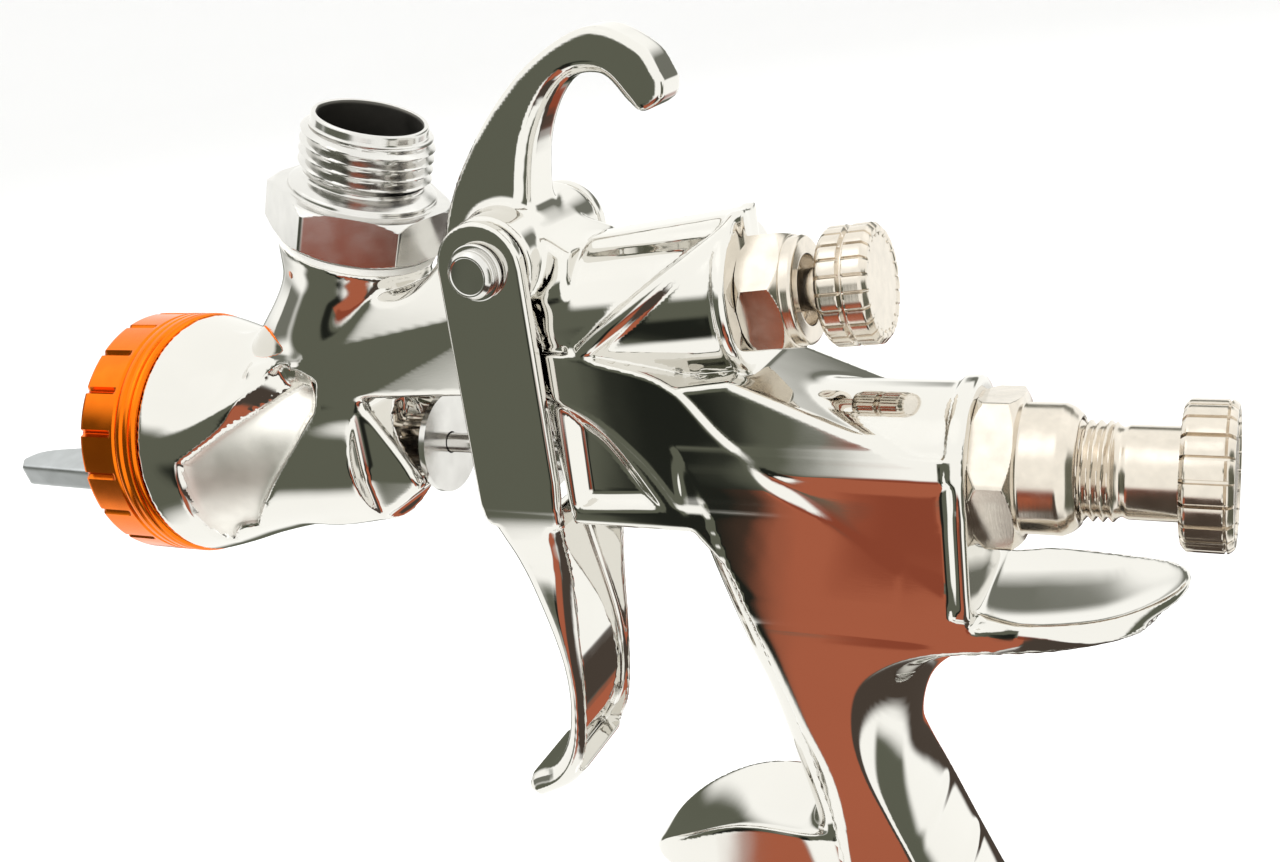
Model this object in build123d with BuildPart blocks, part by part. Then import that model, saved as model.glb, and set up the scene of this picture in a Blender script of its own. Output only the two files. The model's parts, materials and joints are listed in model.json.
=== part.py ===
"""Gravity-feed HVLP spray gun, built as separate pieces with running joints.

Frame: +Z up, the nozzle points along -X, +Y is to the right-hand side seen from behind.
The origin is the centre of the air inlet's end face. Turned parts sit on the spray axis,
so side-view outlines are drawn on SIDE, whose own zero is the spray-axis datum: the point
on the spray axis at the rear rim of the air cap ring.
"""

import os
from math import cos, radians, sin

from build123d import *

os.makedirs("parts", exist_ok=True)

# ---- driving dimensions, millimetres -------------------------------------------------
INLET_X = 115.5            # air inlet face behind the spray-axis datum
INLET_Z = -110.0           # and below it
INLET_TILT = 20.0          # lean of the inlet and lower grip, degrees from vertical

RING_R = 16.5              # air cap ring
RING_FRONT = -10.4
RING_NOTCHES = 18
HEAD_THREAD_R = 14.4
CAP_TURN = 14.0            # the air cap's horns, degrees below the level
CAP_FLANGE_R = 14.1
CAP_R = 12.6
HORN_TIP = -27.6

NEEDLE_R = 1.25
RUN = 0.05                 # radial clearance of a running fit
SNUG = 0.03                # radial clearance of a fixed spigot

CUP_TILT = 20.0            # lean of the cup adapter, degrees from vertical
CUP_TOP_X = 34.8           # centre of the adapter's mouth
CUP_TOP_Z = 41.4
CUP_THREAD_R = 8.0         # 16 x 1.5 thread
CUP_THREAD_LENGTH = 7.4
CUP_BORE_R = 6.2
CUP_LENGTH = 16.2          # mouth to seat
CUP_HEX_AF = 20.0

PIVOT_X = 53.0
PIVOT_Z = 25.4
PIN_R = 2.45
PLATE_R = 5.4              # rounded top of a trigger plate
PLATE_OUT = 11.0           # half width over the trigger plates
PLATE_IN = 9.5
BODY_HALF = 8.8            # half width of the body between the plates
STUD_X = 49.4              # studs that push the air valve spindle
STUD_R = 1.5

BARREL_R = 9.2             # rear barrel on the spray axis
BARREL_END = 105.0
VALVE_BORE_R = 6.9
BUSH_R = 5.5
SPINDLE_R = 2.9

FLUID_THREAD_R = 5.3
FLUID_KNOB_R = 7.8
FLUID_KNOB_FRONT = 125.2
FLUID_KNOB_REAR = 130.3
FLUID_KNOB_FLUTES = 16

FAN_X = 81.0               # rear face of the fan barrel
FAN_Z = 19.2
FAN_TILT = 5.0             # the fan control rises towards its knob
FAN_BORE_R = 4.6
FAN_STEM_R = 2.3
FAN_KNOB_R = 6.5
FAN_KNOB_FLUTES = 22

INLET_THREAD_R = 6.58      # G 1/4
INLET_STAND = 16.0         # grip base to inlet face
AIRWAY_R = 4.0

# ---- planes and axes -----------------------------------------------------------------
DATUM = Vector(-INLET_X, 0, -INLET_Z)
SIDE = Plane(origin=DATUM, x_dir=(1, 0, 0), z_dir=(0, -1, 0))
SPRAY = Axis(DATUM, (1, 0, 0))


def across(x):
    """Plane square to the spray axis at x, facing the rear: its x runs along +Y."""
    return Plane(origin=DATUM + Vector(x, 0, 0), x_dir=(0, 1, 0), z_dir=(1, 0, 0))


def level(z):
    """Horizontal plane at height z over the spray axis."""
    return Plane(origin=DATUM + Vector(0, 0, z), x_dir=(1, 0, 0), z_dir=(0, 0, 1))


CUP = Plane(
    origin=DATUM + Vector(CUP_TOP_X, 0, CUP_TOP_Z),
    x_dir=(cos(radians(CUP_TILT)), 0, -sin(radians(CUP_TILT))),
    z_dir=(sin(radians(CUP_TILT)), 0, cos(radians(CUP_TILT))),
)
FAN = Plane(
    origin=DATUM + Vector(FAN_X, 0, FAN_Z),
    x_dir=(0, 1, 0),
    z_dir=(cos(radians(FAN_TILT)), 0, sin(radians(FAN_TILT))),
)
INLET = Plane(
    origin=(0, 0, 0),
    x_dir=(cos(radians(INLET_TILT)), 0, sin(radians(INLET_TILT))),
    z_dir=(sin(radians(INLET_TILT)), 0, -cos(radians(INLET_TILT))),
)
FAN_SIDE = Plane(origin=FAN.origin, x_dir=FAN.z_dir, z_dir=(0, -1, 0))
CAP_SIDE = Plane(
    origin=DATUM,
    x_dir=(1, 0, 0),
    z_dir=(0, sin(radians(CAP_TURN)), -cos(radians(CAP_TURN))),
)

# ---- the cast body -------------------------------------------------------------------
HEAD_REAR = 29.3
SEAT = CUP.offset(-CUP_LENGTH)
GRIP_STEP = 14.6           # height between the grip's level sections
# front, rear and half width of each section, from the spray axis down
GRIP_SECTIONS = [
    (69.0, 97.0, 8.0),
    (73.6, 100.0, 8.5),
    (78.8, 95.8, 9.2),
    (82.2, 100.0, 10.0),
    (85.6, 106.4, 10.4),
    (90.0, 111.6, 10.5),
    (95.2, 116.8, 10.7),
    (100.4, 122.0, 10.8),
]

with BuildPart() as gun_body:
    # spoons: the web-of-hand rest behind and the finger rest in front of the grip
    with BuildSketch(SIDE):
        with BuildLine():
            Polyline((98, -12), (104, -14), (110, -14.6), (118, -13.6), (126.4, -10.4))
            Spline((126.4, -10.4), (124.6, -13.6), (117.5, -17.2), (108, -17.8), (98, -19))
            Line((98, -19), (98, -12))
        make_face()
        with BuildLine():
            Spline((88, -47), (81.3, -46.4), (74, -46.8), (66.5, -49.8), (59.4, -55.2))
            Spline((59.4, -55.2), (61, -57.4), (67, -57.4), (75, -55.6), (88, -53))
            Line((88, -53), (88, -47))
        make_face()
    extrude(amount=12, both=True)
    with BuildSketch(level(-70)):
        with BuildLine():
            Line((98, -9), (110, -9.4))
            ThreePointArc((110, -9.4), (126.4, 0), (110, 9.4))
            Line((110, 9.4), (98, 9))
            Line((98, 9), (98, -9))
        make_face()
        with BuildLine():
            Line((90, -7.6), (69, -7.6))
            ThreePointArc((69, -7.6), (59.3, 0), (69, 7.6))
            Line((69, 7.6), (90, 7.6))
            Line((90, 7.6), (90, -7.6))
        make_face()
    extrude(amount=70, mode=Mode.INTERSECT)
    # grip
    for step, (front, rear, half) in enumerate(GRIP_SECTIONS):
        with BuildSketch(level(-GRIP_STEP * step)):
            with Locations(((front + rear) / 2, 0)):
                RectangleRounded(rear - front, 2 * half, 0.42 * min(rear - front, 2 * half))
    loft()
    with BuildSketch(INLET.offset(-INLET_STAND)):
        Rectangle(60, 60)
    extrude(amount=30, mode=Mode.SUBTRACT)
    # spray head
    with BuildSketch(SIDE):
        with BuildLine():
            Polyline((0.3, HEAD_THREAD_R), (-5, HEAD_THREAD_R), (-5, 0), (HEAD_REAR, 0))
            Polyline((HEAD_REAR, 0), (HEAD_REAR, 8.2), (27, 9.3))
            Spline((27, 9.3), (15.5, 10.6), (6, 13.3), (0.3, 16))
            Line((0.3, 16), (0.3, HEAD_THREAD_R))
        make_face()
    revolve(axis=SPRAY)
    # cup neck, blending from the round seat into the head and the bridge
    with BuildSketch(SEAT):
        Circle(9.6)
    with BuildSketch(level(18)):
        with Locations((26, 0)):
            Ellipse(12, 8.9)
    with BuildSketch(level(7)):
        with Locations((25, 0)):
            Ellipse(16, 8.6)
    loft()
    # bridge, valve housing and the two rear barrels
    with BuildSketch(SIDE):
        with BuildLine():
            Polyline((24, 20), (24, 8.5), (57, 8.5), (58.2, -6.3), (73.7, -6.3), (80, -14))
            Polyline((80, -14), (104.9, -14), (104.9, 0), (84, 0), (84, 9), (81.2, 13.4))
            Polyline((81.2, 13.4), (80.1, 27), (62, 26.5), (58, 29), (46, 28.2), (42.5, 24.5))
            Polyline((42.5, 24.5), (40, 21.2), (34, 21.2), (24, 20))
        make_face()
    extrude(amount=BODY_HALF - 1.2, both=True)
    with BuildSketch(SIDE):
        with BuildLine():
            Polyline((57.4, 8.5), (58.4, -5), (73, -5), (79, -12), (104.9, -13), (104.9, 2), (80, 9))
            Line((80, 9), (57.4, 8.5))
        make_face()
        with Locations((PIVOT_X, PIVOT_Z)):
            Circle(6)
    extrude(amount=BODY_HALF, both=True)
    with BuildSketch(across(72)):
        Circle(BARREL_R)
    extrude(amount=BARREL_END - 72)
    with BuildSketch(across(103.2)):
        Circle(9.8)
        with Locations((0, -6.5)):
            RectangleRounded(19.2, 15, 2)
    extrude(amount=BARREL_END - 103.2)
    with BuildSketch(FAN):
        Circle(8.2)
    extrude(amount=-24)
    # hanging hook
    with BuildSketch(SIDE):
        with BuildLine():
            Spline((44.7, 26), (47.8, 33.5), (53.3, 40.8), (59.3, 45.9), (66.2, 48.9), (73.4, 42.9))
            Spline((73.4, 42.9), (73.6, 41.1), (71, 40), (69.4, 41.2))
            Spline((69.4, 41.2), (65.9, 45.4), (61, 43.8), (57.1, 36.7), (55.9, 26))
            Line((55.9, 26), (44.7, 26))
        make_face()
    extrude(amount=4.2, both=True)
    # side pockets of the valve housing
    for side in (1, -1):
        with BuildSketch(SIDE.offset(side * BODY_HALF)):
            with BuildLine():
                Polyline((59.6, 6.8), (64, 6.6), (68.4, 2.8), (71.6, -3.8), (59.9, -3.8))
                Line((59.9, -3.8), (59.6, 6.8))
            make_face()
        extrude(amount=-side * 1.6, mode=Mode.SUBTRACT)
    # bores on the spray axis: front chamber, nozzle thread, fluid way, packing, air valve
    for start, end, radius in (
        (-6, 3, 10.5),
        (2, 13, 5.5),
        (12, 25, 2.6),
        (24, 30, 3.05),
        (56, 59.5, 5.6),
        (59, 67.5, BUSH_R + SNUG),
        (67, 79, 4.2),
        (78, 106, VALVE_BORE_R),
    ):
        with BuildSketch(across(start)):
            Circle(radius)
        extrude(amount=end - start, mode=Mode.SUBTRACT)
    with BuildSketch(SEAT.offset(1)):
        Circle(4.5)
    extrude(amount=-27, mode=Mode.SUBTRACT)
    with BuildSketch(FAN.offset(1)):
        Circle(FAN_BORE_R)
    extrude(amount=-22, mode=Mode.SUBTRACT)
    with BuildSketch(SIDE.offset(-20)):
        with Locations((PIVOT_X, PIVOT_Z)):
            Circle(PIN_R + SNUG)
    extrude(amount=40, mode=Mode.SUBTRACT)
    # airway: up from the inlet, then through the grip to the air valve
    with BuildSketch(INLET.offset(-INLET_STAND + 1)):
        Circle(6.4)
    extrude(amount=-11, mode=Mode.SUBTRACT)
    with BuildSketch(INLET.offset(-INLET_STAND)):
        Circle(AIRWAY_R)
    extrude(amount=-60, mode=Mode.SUBTRACT)
    AIRWAY_KNEE = INLET.offset(-INLET_STAND - 57).origin
    with BuildSketch(Plane(origin=AIRWAY_KNEE, z_dir=(-0.03, 0, 1))):
        Circle(AIRWAY_R)
    extrude(amount=40, mode=Mode.SUBTRACT)
gun_body.part.label = "gun_body"
export_step(gun_body.part, "parts/gun_body.step")

# ---- cup adapter ---------------------------------------------------------------------
with BuildPart() as cup_adapter:
    with BuildSketch(CUP):
        Circle(CUP_THREAD_R)
    extrude(amount=-CUP_THREAD_LENGTH)
    with BuildSketch(CUP.offset(-CUP_THREAD_LENGTH)):
        Circle(CUP_THREAD_R - 0.3)
    with BuildSketch(CUP.offset(-CUP_THREAD_LENGTH - 2)):
        Circle(9.6)
    loft()
    with BuildSketch(CUP.offset(-CUP_THREAD_LENGTH - 2)):
        RegularPolygon(CUP_HEX_AF / 2, 6, major_radius=False)
    extrude(amount=-(CUP_LENGTH - CUP_THREAD_LENGTH - 3))
    with BuildSketch(CUP.offset(-CUP_LENGTH + 1)):
        Circle(9.4)
    extrude(amount=-0.2)
    with BuildSketch(SEAT.offset(0.8)):
        Circle(6.0)
    extrude(amount=-0.8)
    with BuildSketch(CUP):
        Circle(CUP_BORE_R)
    extrude(amount=-8, mode=Mode.SUBTRACT)
    with BuildSketch(CUP.offset(-8)):
        Circle(4.5)
    extrude(amount=-12, mode=Mode.SUBTRACT)
cup_adapter.part.label = "cup_adapter"
export_step(cup_adapter.part, "parts/cup_adapter.step")

with BuildPart() as cup_gasket:
    with BuildSketch(SEAT):
        Circle(9.7)
        Circle(6.1, mode=Mode.SUBTRACT)
    extrude(amount=0.8)
cup_gasket.part.label = "cup_gasket"
export_step(cup_gasket.part, "parts/cup_gasket.step")

# ---- nozzle set ----------------------------------------------------------------------
NOZZLE_TIP = -15.4
ORIFICE_R = 0.75

with BuildPart() as fluid_nozzle:
    with BuildSketch(SIDE):
        with BuildLine():
            Polyline((12, 2.3), (12, 5.45), (3, 5.45), (2.8, 5.45), (0, 5.45), (0, 8.6), (-3.4, 8.6))
            Polyline((-3.4, 8.6), (-4.4, 7.0), (-8, 4.6), (-13.6, 1.5), (NOZZLE_TIP, 1.4))
            Polyline((NOZZLE_TIP, 1.4), (NOZZLE_TIP, ORIFICE_R), (-14.4, ORIFICE_R), (-8, 2.3))
            Line((-8, 2.3), (12, 2.3))
        make_face()
    revolve(axis=SPRAY)
fluid_nozzle.part.label = "fluid_nozzle"
export_step(fluid_nozzle.part, "parts/fluid_nozzle.step")

with BuildPart() as air_baffle:
    with BuildSketch(across(0.1)):
        Circle(10.4)
        Circle(5.6, mode=Mode.SUBTRACT)
        with PolarLocations(9.3, 10):
            Circle(0.6, mode=Mode.SUBTRACT)
    extrude(amount=1.9)
air_baffle.part.label = "air_baffle"
export_step(air_baffle.part, "parts/air_baffle.step")

with BuildPart() as nozzle_gasket:
    with BuildSketch(across(2.1)):
        Circle(8)
        Circle(5.6, mode=Mode.SUBTRACT)
    extrude(amount=0.8)
nozzle_gasket.part.label = "nozzle_gasket"
export_step(nozzle_gasket.part, "parts/nozzle_gasket.step")

with BuildPart() as air_cap:
    with BuildSketch(SIDE):
        with BuildLine():
            Polyline((-6.5, 13), (-6.5, CAP_FLANGE_R), (-8.2, CAP_FLANGE_R), (-8.2, CAP_R))
            Polyline((-8.2, CAP_R), (-10.9, CAP_R), (-11.4, CAP_R - 0.5), (-14.3, 4), (-14.9, 3.4))
            Polyline((-14.9, 3.4), (-14.9, 1.75), (-13.4, 1.75), (-13.4, 3.2), (-10, 9.8), (-6.5, 13))
        make_face()
    revolve(axis=SPRAY)
    for side in (1, -1):
        with BuildSketch(CAP_SIDE):
            with BuildLine():
                Polyline((-10.6, side * 9.6), (-10.6, side * CAP_R), (-26.2, side * 12.2))
                Polyline((-26.2, side * 12.2), (HORN_TIP, side * 10.4), (-25, side * 8.2), (-17.5, side * 6.9))
                Polyline((-17.5, side * 6.9), (-12.4, side * 7.2), (-10.6, side * 9.6))
            make_face()
        extrude(amount=1.8, both=True)
air_cap.part.label = "air_cap"
export_step(air_cap.part, "parts/air_cap.step")

with BuildPart() as cap_clip:
    with BuildSketch(across(-6.1)):
        Circle(14.45)
        Circle(13.0, mode=Mode.SUBTRACT)
    extrude(amount=0.8)
cap_clip.part.label = "cap_clip"
export_step(cap_clip.part, "parts/cap_clip.step")

with BuildPart() as cap_ring:
    with BuildSketch(SIDE):
        with BuildLine():
            Polyline((0, HEAD_THREAD_R + RUN), (0, RING_R - 0.3), (-0.3, RING_R), (RING_FRONT + 1, RING_R))
            Polyline((RING_FRONT + 1, RING_R), (RING_FRONT, RING_R - 1.4), (RING_FRONT, CAP_R + 0.3))
            Polyline((RING_FRONT, CAP_R + 0.3), (-8.5, CAP_R + 0.3), (-8.5, 14.8), (-5.2, 14.8))
            Polyline((-5.2, 14.8), (-5.2, HEAD_THREAD_R + RUN), (0, HEAD_THREAD_R + RUN))
        make_face()
    revolve(axis=SPRAY)
    with BuildSketch(across(RING_FRONT - 1)):
        with PolarLocations(RING_R, RING_NOTCHES):
            Rectangle(0.7, 1.6)
    extrude(amount=6.6, mode=Mode.SUBTRACT)
    for groove in (-3.4, -2.2, -1.0):
        with BuildSketch(across(groove - 0.25)):
            Circle(RING_R + 1)
            Circle(RING_R - 0.3, mode=Mode.SUBTRACT)
        extrude(amount=0.5, mode=Mode.SUBTRACT)
cap_ring.part.label = "cap_ring"
export_step(cap_ring.part, "parts/cap_ring.step")

# ---- fluid needle and its packing ----------------------------------------------------
COLLAR_FRONT = 97.0

with BuildPart() as needle:
    with BuildSketch(SIDE):
        with BuildLine():
            Polyline((-15.0, 0), (-15.0, 0.4), (-8, 1.1), (-7, NEEDLE_R), (103, NEEDLE_R), (103, 0))
            Line((103, 0), (-15.0, 0))
        make_face()
    revolve(axis=SPRAY)
needle.part.label = "needle"
export_step(needle.part, "parts/needle.step")

with BuildPart() as needle_collar:
    with BuildSketch(across(COLLAR_FRONT)):
        Circle(3.6)
        Circle(NEEDLE_R + SNUG, mode=Mode.SUBTRACT)
    extrude(amount=3)
needle_collar.part.label = "needle_collar"
export_step(needle_collar.part, "parts/needle_collar.step")

with BuildPart() as needle_packing:
    with BuildSketch(across(25.1)):
        Circle(3.0)
        Circle(NEEDLE_R + RUN, mode=Mode.SUBTRACT)
    extrude(amount=2.4)
needle_packing.part.label = "needle_packing"
export_step(needle_packing.part, "parts/needle_packing.step")

with BuildPart() as packing_nut:
    with BuildSketch(SIDE):
        with BuildLine():
            Polyline((27.6, 1.4), (27.6, 3.0), (29.5, 3.0), (29.5, 3.2), (32, 3.2), (32, 3.6))
            Polyline((32, 3.6), (36.8, 3.6), (36.8, 1.4), (27.6, 1.4))
        make_face()
    revolve(axis=SPRAY)
    with BuildSketch(across(32)):
        with PolarLocations(3.6, 16):
            Rectangle(0.5, 0.5)
    extrude(amount=5, mode=Mode.SUBTRACT)
packing_nut.part.label = "packing_nut"
export_step(packing_nut.part, "parts/packing_nut.step")

with BuildPart() as splash_disc:
    with BuildSketch(across(36.85)):
        Circle(6.3)
        Circle(1.4, mode=Mode.SUBTRACT)
    extrude(amount=0.8)
splash_disc.part.label = "splash_disc"
export_step(splash_disc.part, "parts/splash_disc.step")

# ---- trigger and its pin -------------------------------------------------------------
with BuildPart() as trigger:
    with BuildSketch(SIDE):
        with BuildLine():
            Line((PIVOT_X - PLATE_R, PIVOT_Z), (PIVOT_X - PLATE_R, -4))
            Spline((47.6, -4), (49.6, -14), (52.3, -27), (51.6, -36.5), (48.6, -42.6), (44.4, -45.2))
            Spline((44.4, -45.2), (44.2, -47.3), (45.8, -48.4))
            Spline((45.8, -48.4), (51, -45.2), (54.4, -40), (56, -30.4), (56.8, -19), (58.4, -4))
            Line((58.4, -4), (PIVOT_X + PLATE_R, PIVOT_Z))
            ThreePointArc(
                (PIVOT_X + PLATE_R, PIVOT_Z), (PIVOT_X, PIVOT_Z + PLATE_R), (PIVOT_X - PLATE_R, PIVOT_Z)
            )
        make_face()
    extrude(amount=PLATE_OUT, both=True)
    with BuildSketch(across(30)):
        with BuildLine():
            Polyline((-PLATE_OUT, 32), (-PLATE_OUT, -6), (-8.6, -16), (-8, -44))
            ThreePointArc((-8, -44), (0, -50), (8, -44))
            Polyline((8, -44), (8.6, -16), (PLATE_OUT, -6), (PLATE_OUT, 32), (-PLATE_OUT, 32))
        make_face()
    extrude(amount=40, mode=Mode.INTERSECT)
    with BuildSketch(across(30)):
        with BuildLine():
            Polyline((-PLATE_IN, 40), (-PLATE_IN, -8.4), (-7.1, -17), (-6.5, -41))
            ThreePointArc((-6.5, -41), (0, -45), (6.5, -41))
            Polyline((6.5, -41), (7.1, -17), (PLATE_IN, -8.4), (PLATE_IN, 40), (-PLATE_IN, 40))
        make_face()
    channel = extrude(amount=40, mode=Mode.PRIVATE)
    with BuildSketch(SIDE, mode=Mode.PRIVATE) as hollow:
        with BuildLine():
            Polyline((40, 40), (40, -9), (49.6, -9))
            Spline((49.6, -9), (51.2, -14), (53.9, -27), (53.2, -36.5), (49.4, -43.6))
            Polyline((49.4, -43.6), (70, -43.6), (70, 40), (40, 40))
        make_face()
    depth = extrude(hollow.sketch, amount=20, both=True, mode=Mode.PRIVATE)
    add(channel & depth, mode=Mode.SUBTRACT)
    for side in (1, -1):
        with BuildSketch(SIDE.offset(side * 3.6)):
            with Locations((STUD_X, 0)):
                Circle(STUD_R)
        extrude(amount=side * (PLATE_IN - 3.1))
    with BuildSketch(SIDE.offset(-20)):
        with Locations((PIVOT_X, PIVOT_Z)):
            Circle(PIN_R + RUN)
    extrude(amount=40, mode=Mode.SUBTRACT)
trigger.part.label = "trigger"
export_step(trigger.part, "parts/trigger.step")

with BuildPart() as trigger_pin:
    with BuildSketch(SIDE.offset(-13.2)):
        with Locations((PIVOT_X, PIVOT_Z)):
            Circle(PIN_R)
    extrude(amount=13.2 + 12)
    with BuildSketch(SIDE.offset(11.3)):
        with Locations((PIVOT_X, PIVOT_Z)):
            Circle(3.25)
    extrude(amount=0.6)
    with BuildSketch(SIDE.offset(11.9)):
        with Locations((PIVOT_X, PIVOT_Z)):
            Circle(2.75)
    extrude(amount=1.5)
trigger_pin.part.label = "trigger_pin"
export_step(trigger_pin.part, "parts/trigger_pin.step")

with BuildPart() as pin_clip:
    with BuildSketch(SIDE.offset(-12.4)):
        with Locations((PIVOT_X, PIVOT_Z)):
            Circle(4)
            Circle(PIN_R + 0.01, mode=Mode.SUBTRACT)
    extrude(amount=1.1)
pin_clip.part.label = "pin_clip"
export_step(pin_clip.part, "parts/pin_clip.step")

# ---- air valve -----------------------------------------------------------------------
with BuildPart() as air_valve_bush:
    with BuildSketch(across(60)):
        Circle(BUSH_R)
        Circle(SPINDLE_R + RUN, mode=Mode.SUBTRACT)
    extrude(amount=7)
air_valve_bush.part.label = "air_valve_bush"
export_step(air_valve_bush.part, "parts/air_valve_bush.step")

with BuildPart() as air_valve_seat:
    with BuildSketch(across(79.02)):
        Circle(VALVE_BORE_R - SNUG)
        Circle(3.6, mode=Mode.SUBTRACT)
    extrude(amount=1.3)
air_valve_seat.part.label = "air_valve_seat"
export_step(air_valve_seat.part, "parts/air_valve_seat.step")

with BuildPart() as air_valve_spindle:
    with BuildSketch(SIDE):
        with BuildLine():
            Polyline((51.2, 1.35), (51.2, 5), (52.7, 5), (52.7, SPINDLE_R), (80.6, SPINDLE_R))
            Polyline((80.6, SPINDLE_R), (80.6, 5.6), (82.6, 5.6), (82.6, 3.2), (84, 3.2), (84, 1.35))
            Line((84, 1.35), (51.2, 1.35))
        make_face()
    revolve(axis=SPRAY)
air_valve_spindle.part.label = "air_valve_spindle"
export_step(air_valve_spindle.part, "parts/air_valve_spindle.step")


VALVE_SPRING_START = 83.2

with BuildPart() as air_valve_spring:
    with BuildLine() as coil:
        Helix(2.2, 11.0, 4.9, center=DATUM + Vector(VALVE_SPRING_START, 0, 0), direction=(1, 0, 0))
    with BuildSketch(Plane(origin=coil.line @ 0, z_dir=coil.line % 0)):
        Circle(0.45)
    sweep()
air_valve_spring.part.label = "air_valve_spring"
export_step(air_valve_spring.part, "parts/air_valve_spring.step")

# ---- fluid control -------------------------------------------------------------------
with BuildPart() as fluid_housing:
    with BuildSketch(SIDE):
        with BuildLine():
            Polyline((95, 3.9), (95, 6.8), (96.4, 6.8), (96.4, 5.7), (97.8, 5.7), (97.8, 6.8))
            Polyline((97.8, 6.8), (105.02, 6.8), (105.02, 7.4), (110, 7.4), (110, 7.0), (114.3, 7.0))
            Polyline((114.3, 7.0), (115.3, 6.1), (115.3, 5.35), (99.5, 5.35), (99.5, 3.9), (95, 3.9))
        make_face()
    revolve(axis=SPRAY)
    with BuildSketch(across(105.05)):
        RegularPolygon(9.1, 6)
        Circle(6, mode=Mode.SUBTRACT)
    extrude(amount=4.35)
fluid_housing.part.label = "fluid_housing"
export_step(fluid_housing.part, "parts/fluid_housing.step")

with BuildPart() as housing_o_ring:
    with BuildSketch(SIDE):
        with Locations((97.1, 6.3)):
            Circle(0.55)
    revolve(axis=SPRAY)
housing_o_ring.part.label = "housing_o_ring"
export_step(housing_o_ring.part, "parts/housing_o_ring.step")

with BuildPart() as fluid_knob:
    with BuildSketch(SIDE):
        with BuildLine():
            Polyline((107, 3.95), (107, FLUID_THREAD_R), (118.9, FLUID_THREAD_R), (118.9, 4.9))
            Polyline((118.9, 4.9), (FLUID_KNOB_FRONT, 4.9), (FLUID_KNOB_FRONT, FLUID_KNOB_R))
            Polyline((FLUID_KNOB_FRONT, FLUID_KNOB_R), (FLUID_KNOB_REAR, FLUID_KNOB_R), (FLUID_KNOB_REAR, 0))
            Polyline((FLUID_KNOB_REAR, 0), (122, 0), (122, 3.95), (107, 3.95))
        make_face()
    revolve(axis=SPRAY)
    with BuildSketch(across(FLUID_KNOB_FRONT)):
        with PolarLocations(FLUID_KNOB_R + 0.6, FLUID_KNOB_FLUTES):
            Circle(1.0)
    extrude(amount=6, mode=Mode.SUBTRACT)
fluid_knob.part.label = "fluid_knob"
export_step(fluid_knob.part, "parts/fluid_knob.step")

with BuildPart() as spring_seat:
    with BuildSketch(across(121.1)):
        Circle(3.7)
        Circle(1.4, mode=Mode.SUBTRACT)
    extrude(amount=0.8)
spring_seat.part.label = "spring_seat"
export_step(spring_seat.part, "parts/spring_seat.step")

NEEDLE_SPRING_START = 100.6

with BuildPart() as needle_spring:
    with BuildLine() as coil:
        Helix(2.2, 19.8, 2.9, center=DATUM + Vector(NEEDLE_SPRING_START, 0, 0), direction=(1, 0, 0))
    with BuildSketch(Plane(origin=coil.line @ 0, z_dir=coil.line % 0)):
        Circle(0.35)
    sweep()
needle_spring.part.label = "needle_spring"
export_step(needle_spring.part, "parts/needle_spring.step")

# ---- fan control, on its own raised axis ---------------------------------------------
FAN_KNOB_START = 8.8
FAN_KNOB_END = 14.6

with BuildPart() as fan_valve_body:
    with BuildSketch(FAN.offset(0.1)):
        RegularPolygon(7.1, 6)
    extrude(amount=4.8)
    with BuildSketch(FAN.offset(4.9)):
        Circle(6)
    extrude(amount=1.5)
    with BuildSketch(FAN.offset(0.1)):
        Circle(FAN_BORE_R - SNUG)
    extrude(amount=-9)
    with BuildSketch(FAN.offset(-6.6)):
        Circle(5)
        Circle(3.6, mode=Mode.SUBTRACT)
    extrude(amount=1.4, mode=Mode.SUBTRACT)
    with BuildSketch(FAN.offset(10)):
        Circle(FAN_STEM_R + RUN)
    extrude(amount=-30, mode=Mode.SUBTRACT)
    with BuildSketch(FAN.offset(4.6)):
        Circle(3.9)
        Circle(2.2, mode=Mode.SUBTRACT)
    extrude(amount=3, mode=Mode.SUBTRACT)
fan_valve_body.part.label = "fan_valve_body"
export_step(fan_valve_body.part, "parts/fan_valve_body.step")

with BuildPart() as fan_o_ring:
    with BuildSketch(FAN_SIDE):
        with Locations((-5.9, 4.1)):
            Circle(0.45)
    revolve(axis=Axis(FAN.origin, FAN.z_dir))
fan_o_ring.part.label = "fan_o_ring"
export_step(fan_o_ring.part, "parts/fan_o_ring.step")

with BuildPart() as fan_plunger:
    with BuildSketch(FAN.offset(-12)):
        Circle(3.8)
    extrude(amount=-3)
    with BuildSketch(FAN.offset(-15)):
        Circle(3.8)
    with BuildSketch(FAN.offset(-18)):
        Circle(1.2)
    loft()
fan_plunger.part.label = "fan_plunger"
export_step(fan_plunger.part, "parts/fan_plunger.step")

with BuildPart() as fan_knob:
    with BuildSketch(FAN.offset(-11.6)):
        Circle(FAN_STEM_R)
    extrude(amount=FAN_KNOB_START + 12)
    with BuildSketch(FAN.offset(FAN_KNOB_START)):
        Circle(FAN_KNOB_R)
        with PolarLocations(FAN_KNOB_R, FAN_KNOB_FLUTES):
            Rectangle(0.9, 0.7, mode=Mode.SUBTRACT)
    extrude(amount=FAN_KNOB_END - FAN_KNOB_START)
    with BuildSketch(FAN.offset((FAN_KNOB_START + FAN_KNOB_END) / 2 - 0.3)):
        Circle(FAN_KNOB_R + 1)
        Circle(FAN_KNOB_R - 0.6, mode=Mode.SUBTRACT)
    extrude(amount=0.6, mode=Mode.SUBTRACT)
    with BuildSketch(FAN_SIDE.offset(2.2)):
        with Locations(((FAN_KNOB_START + FAN_KNOB_END) / 2, 0)):
            Circle(1.0)
    extrude(amount=8, mode=Mode.SUBTRACT)
fan_knob.part.label = "fan_knob"
export_step(fan_knob.part, "parts/fan_knob.step")

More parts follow.
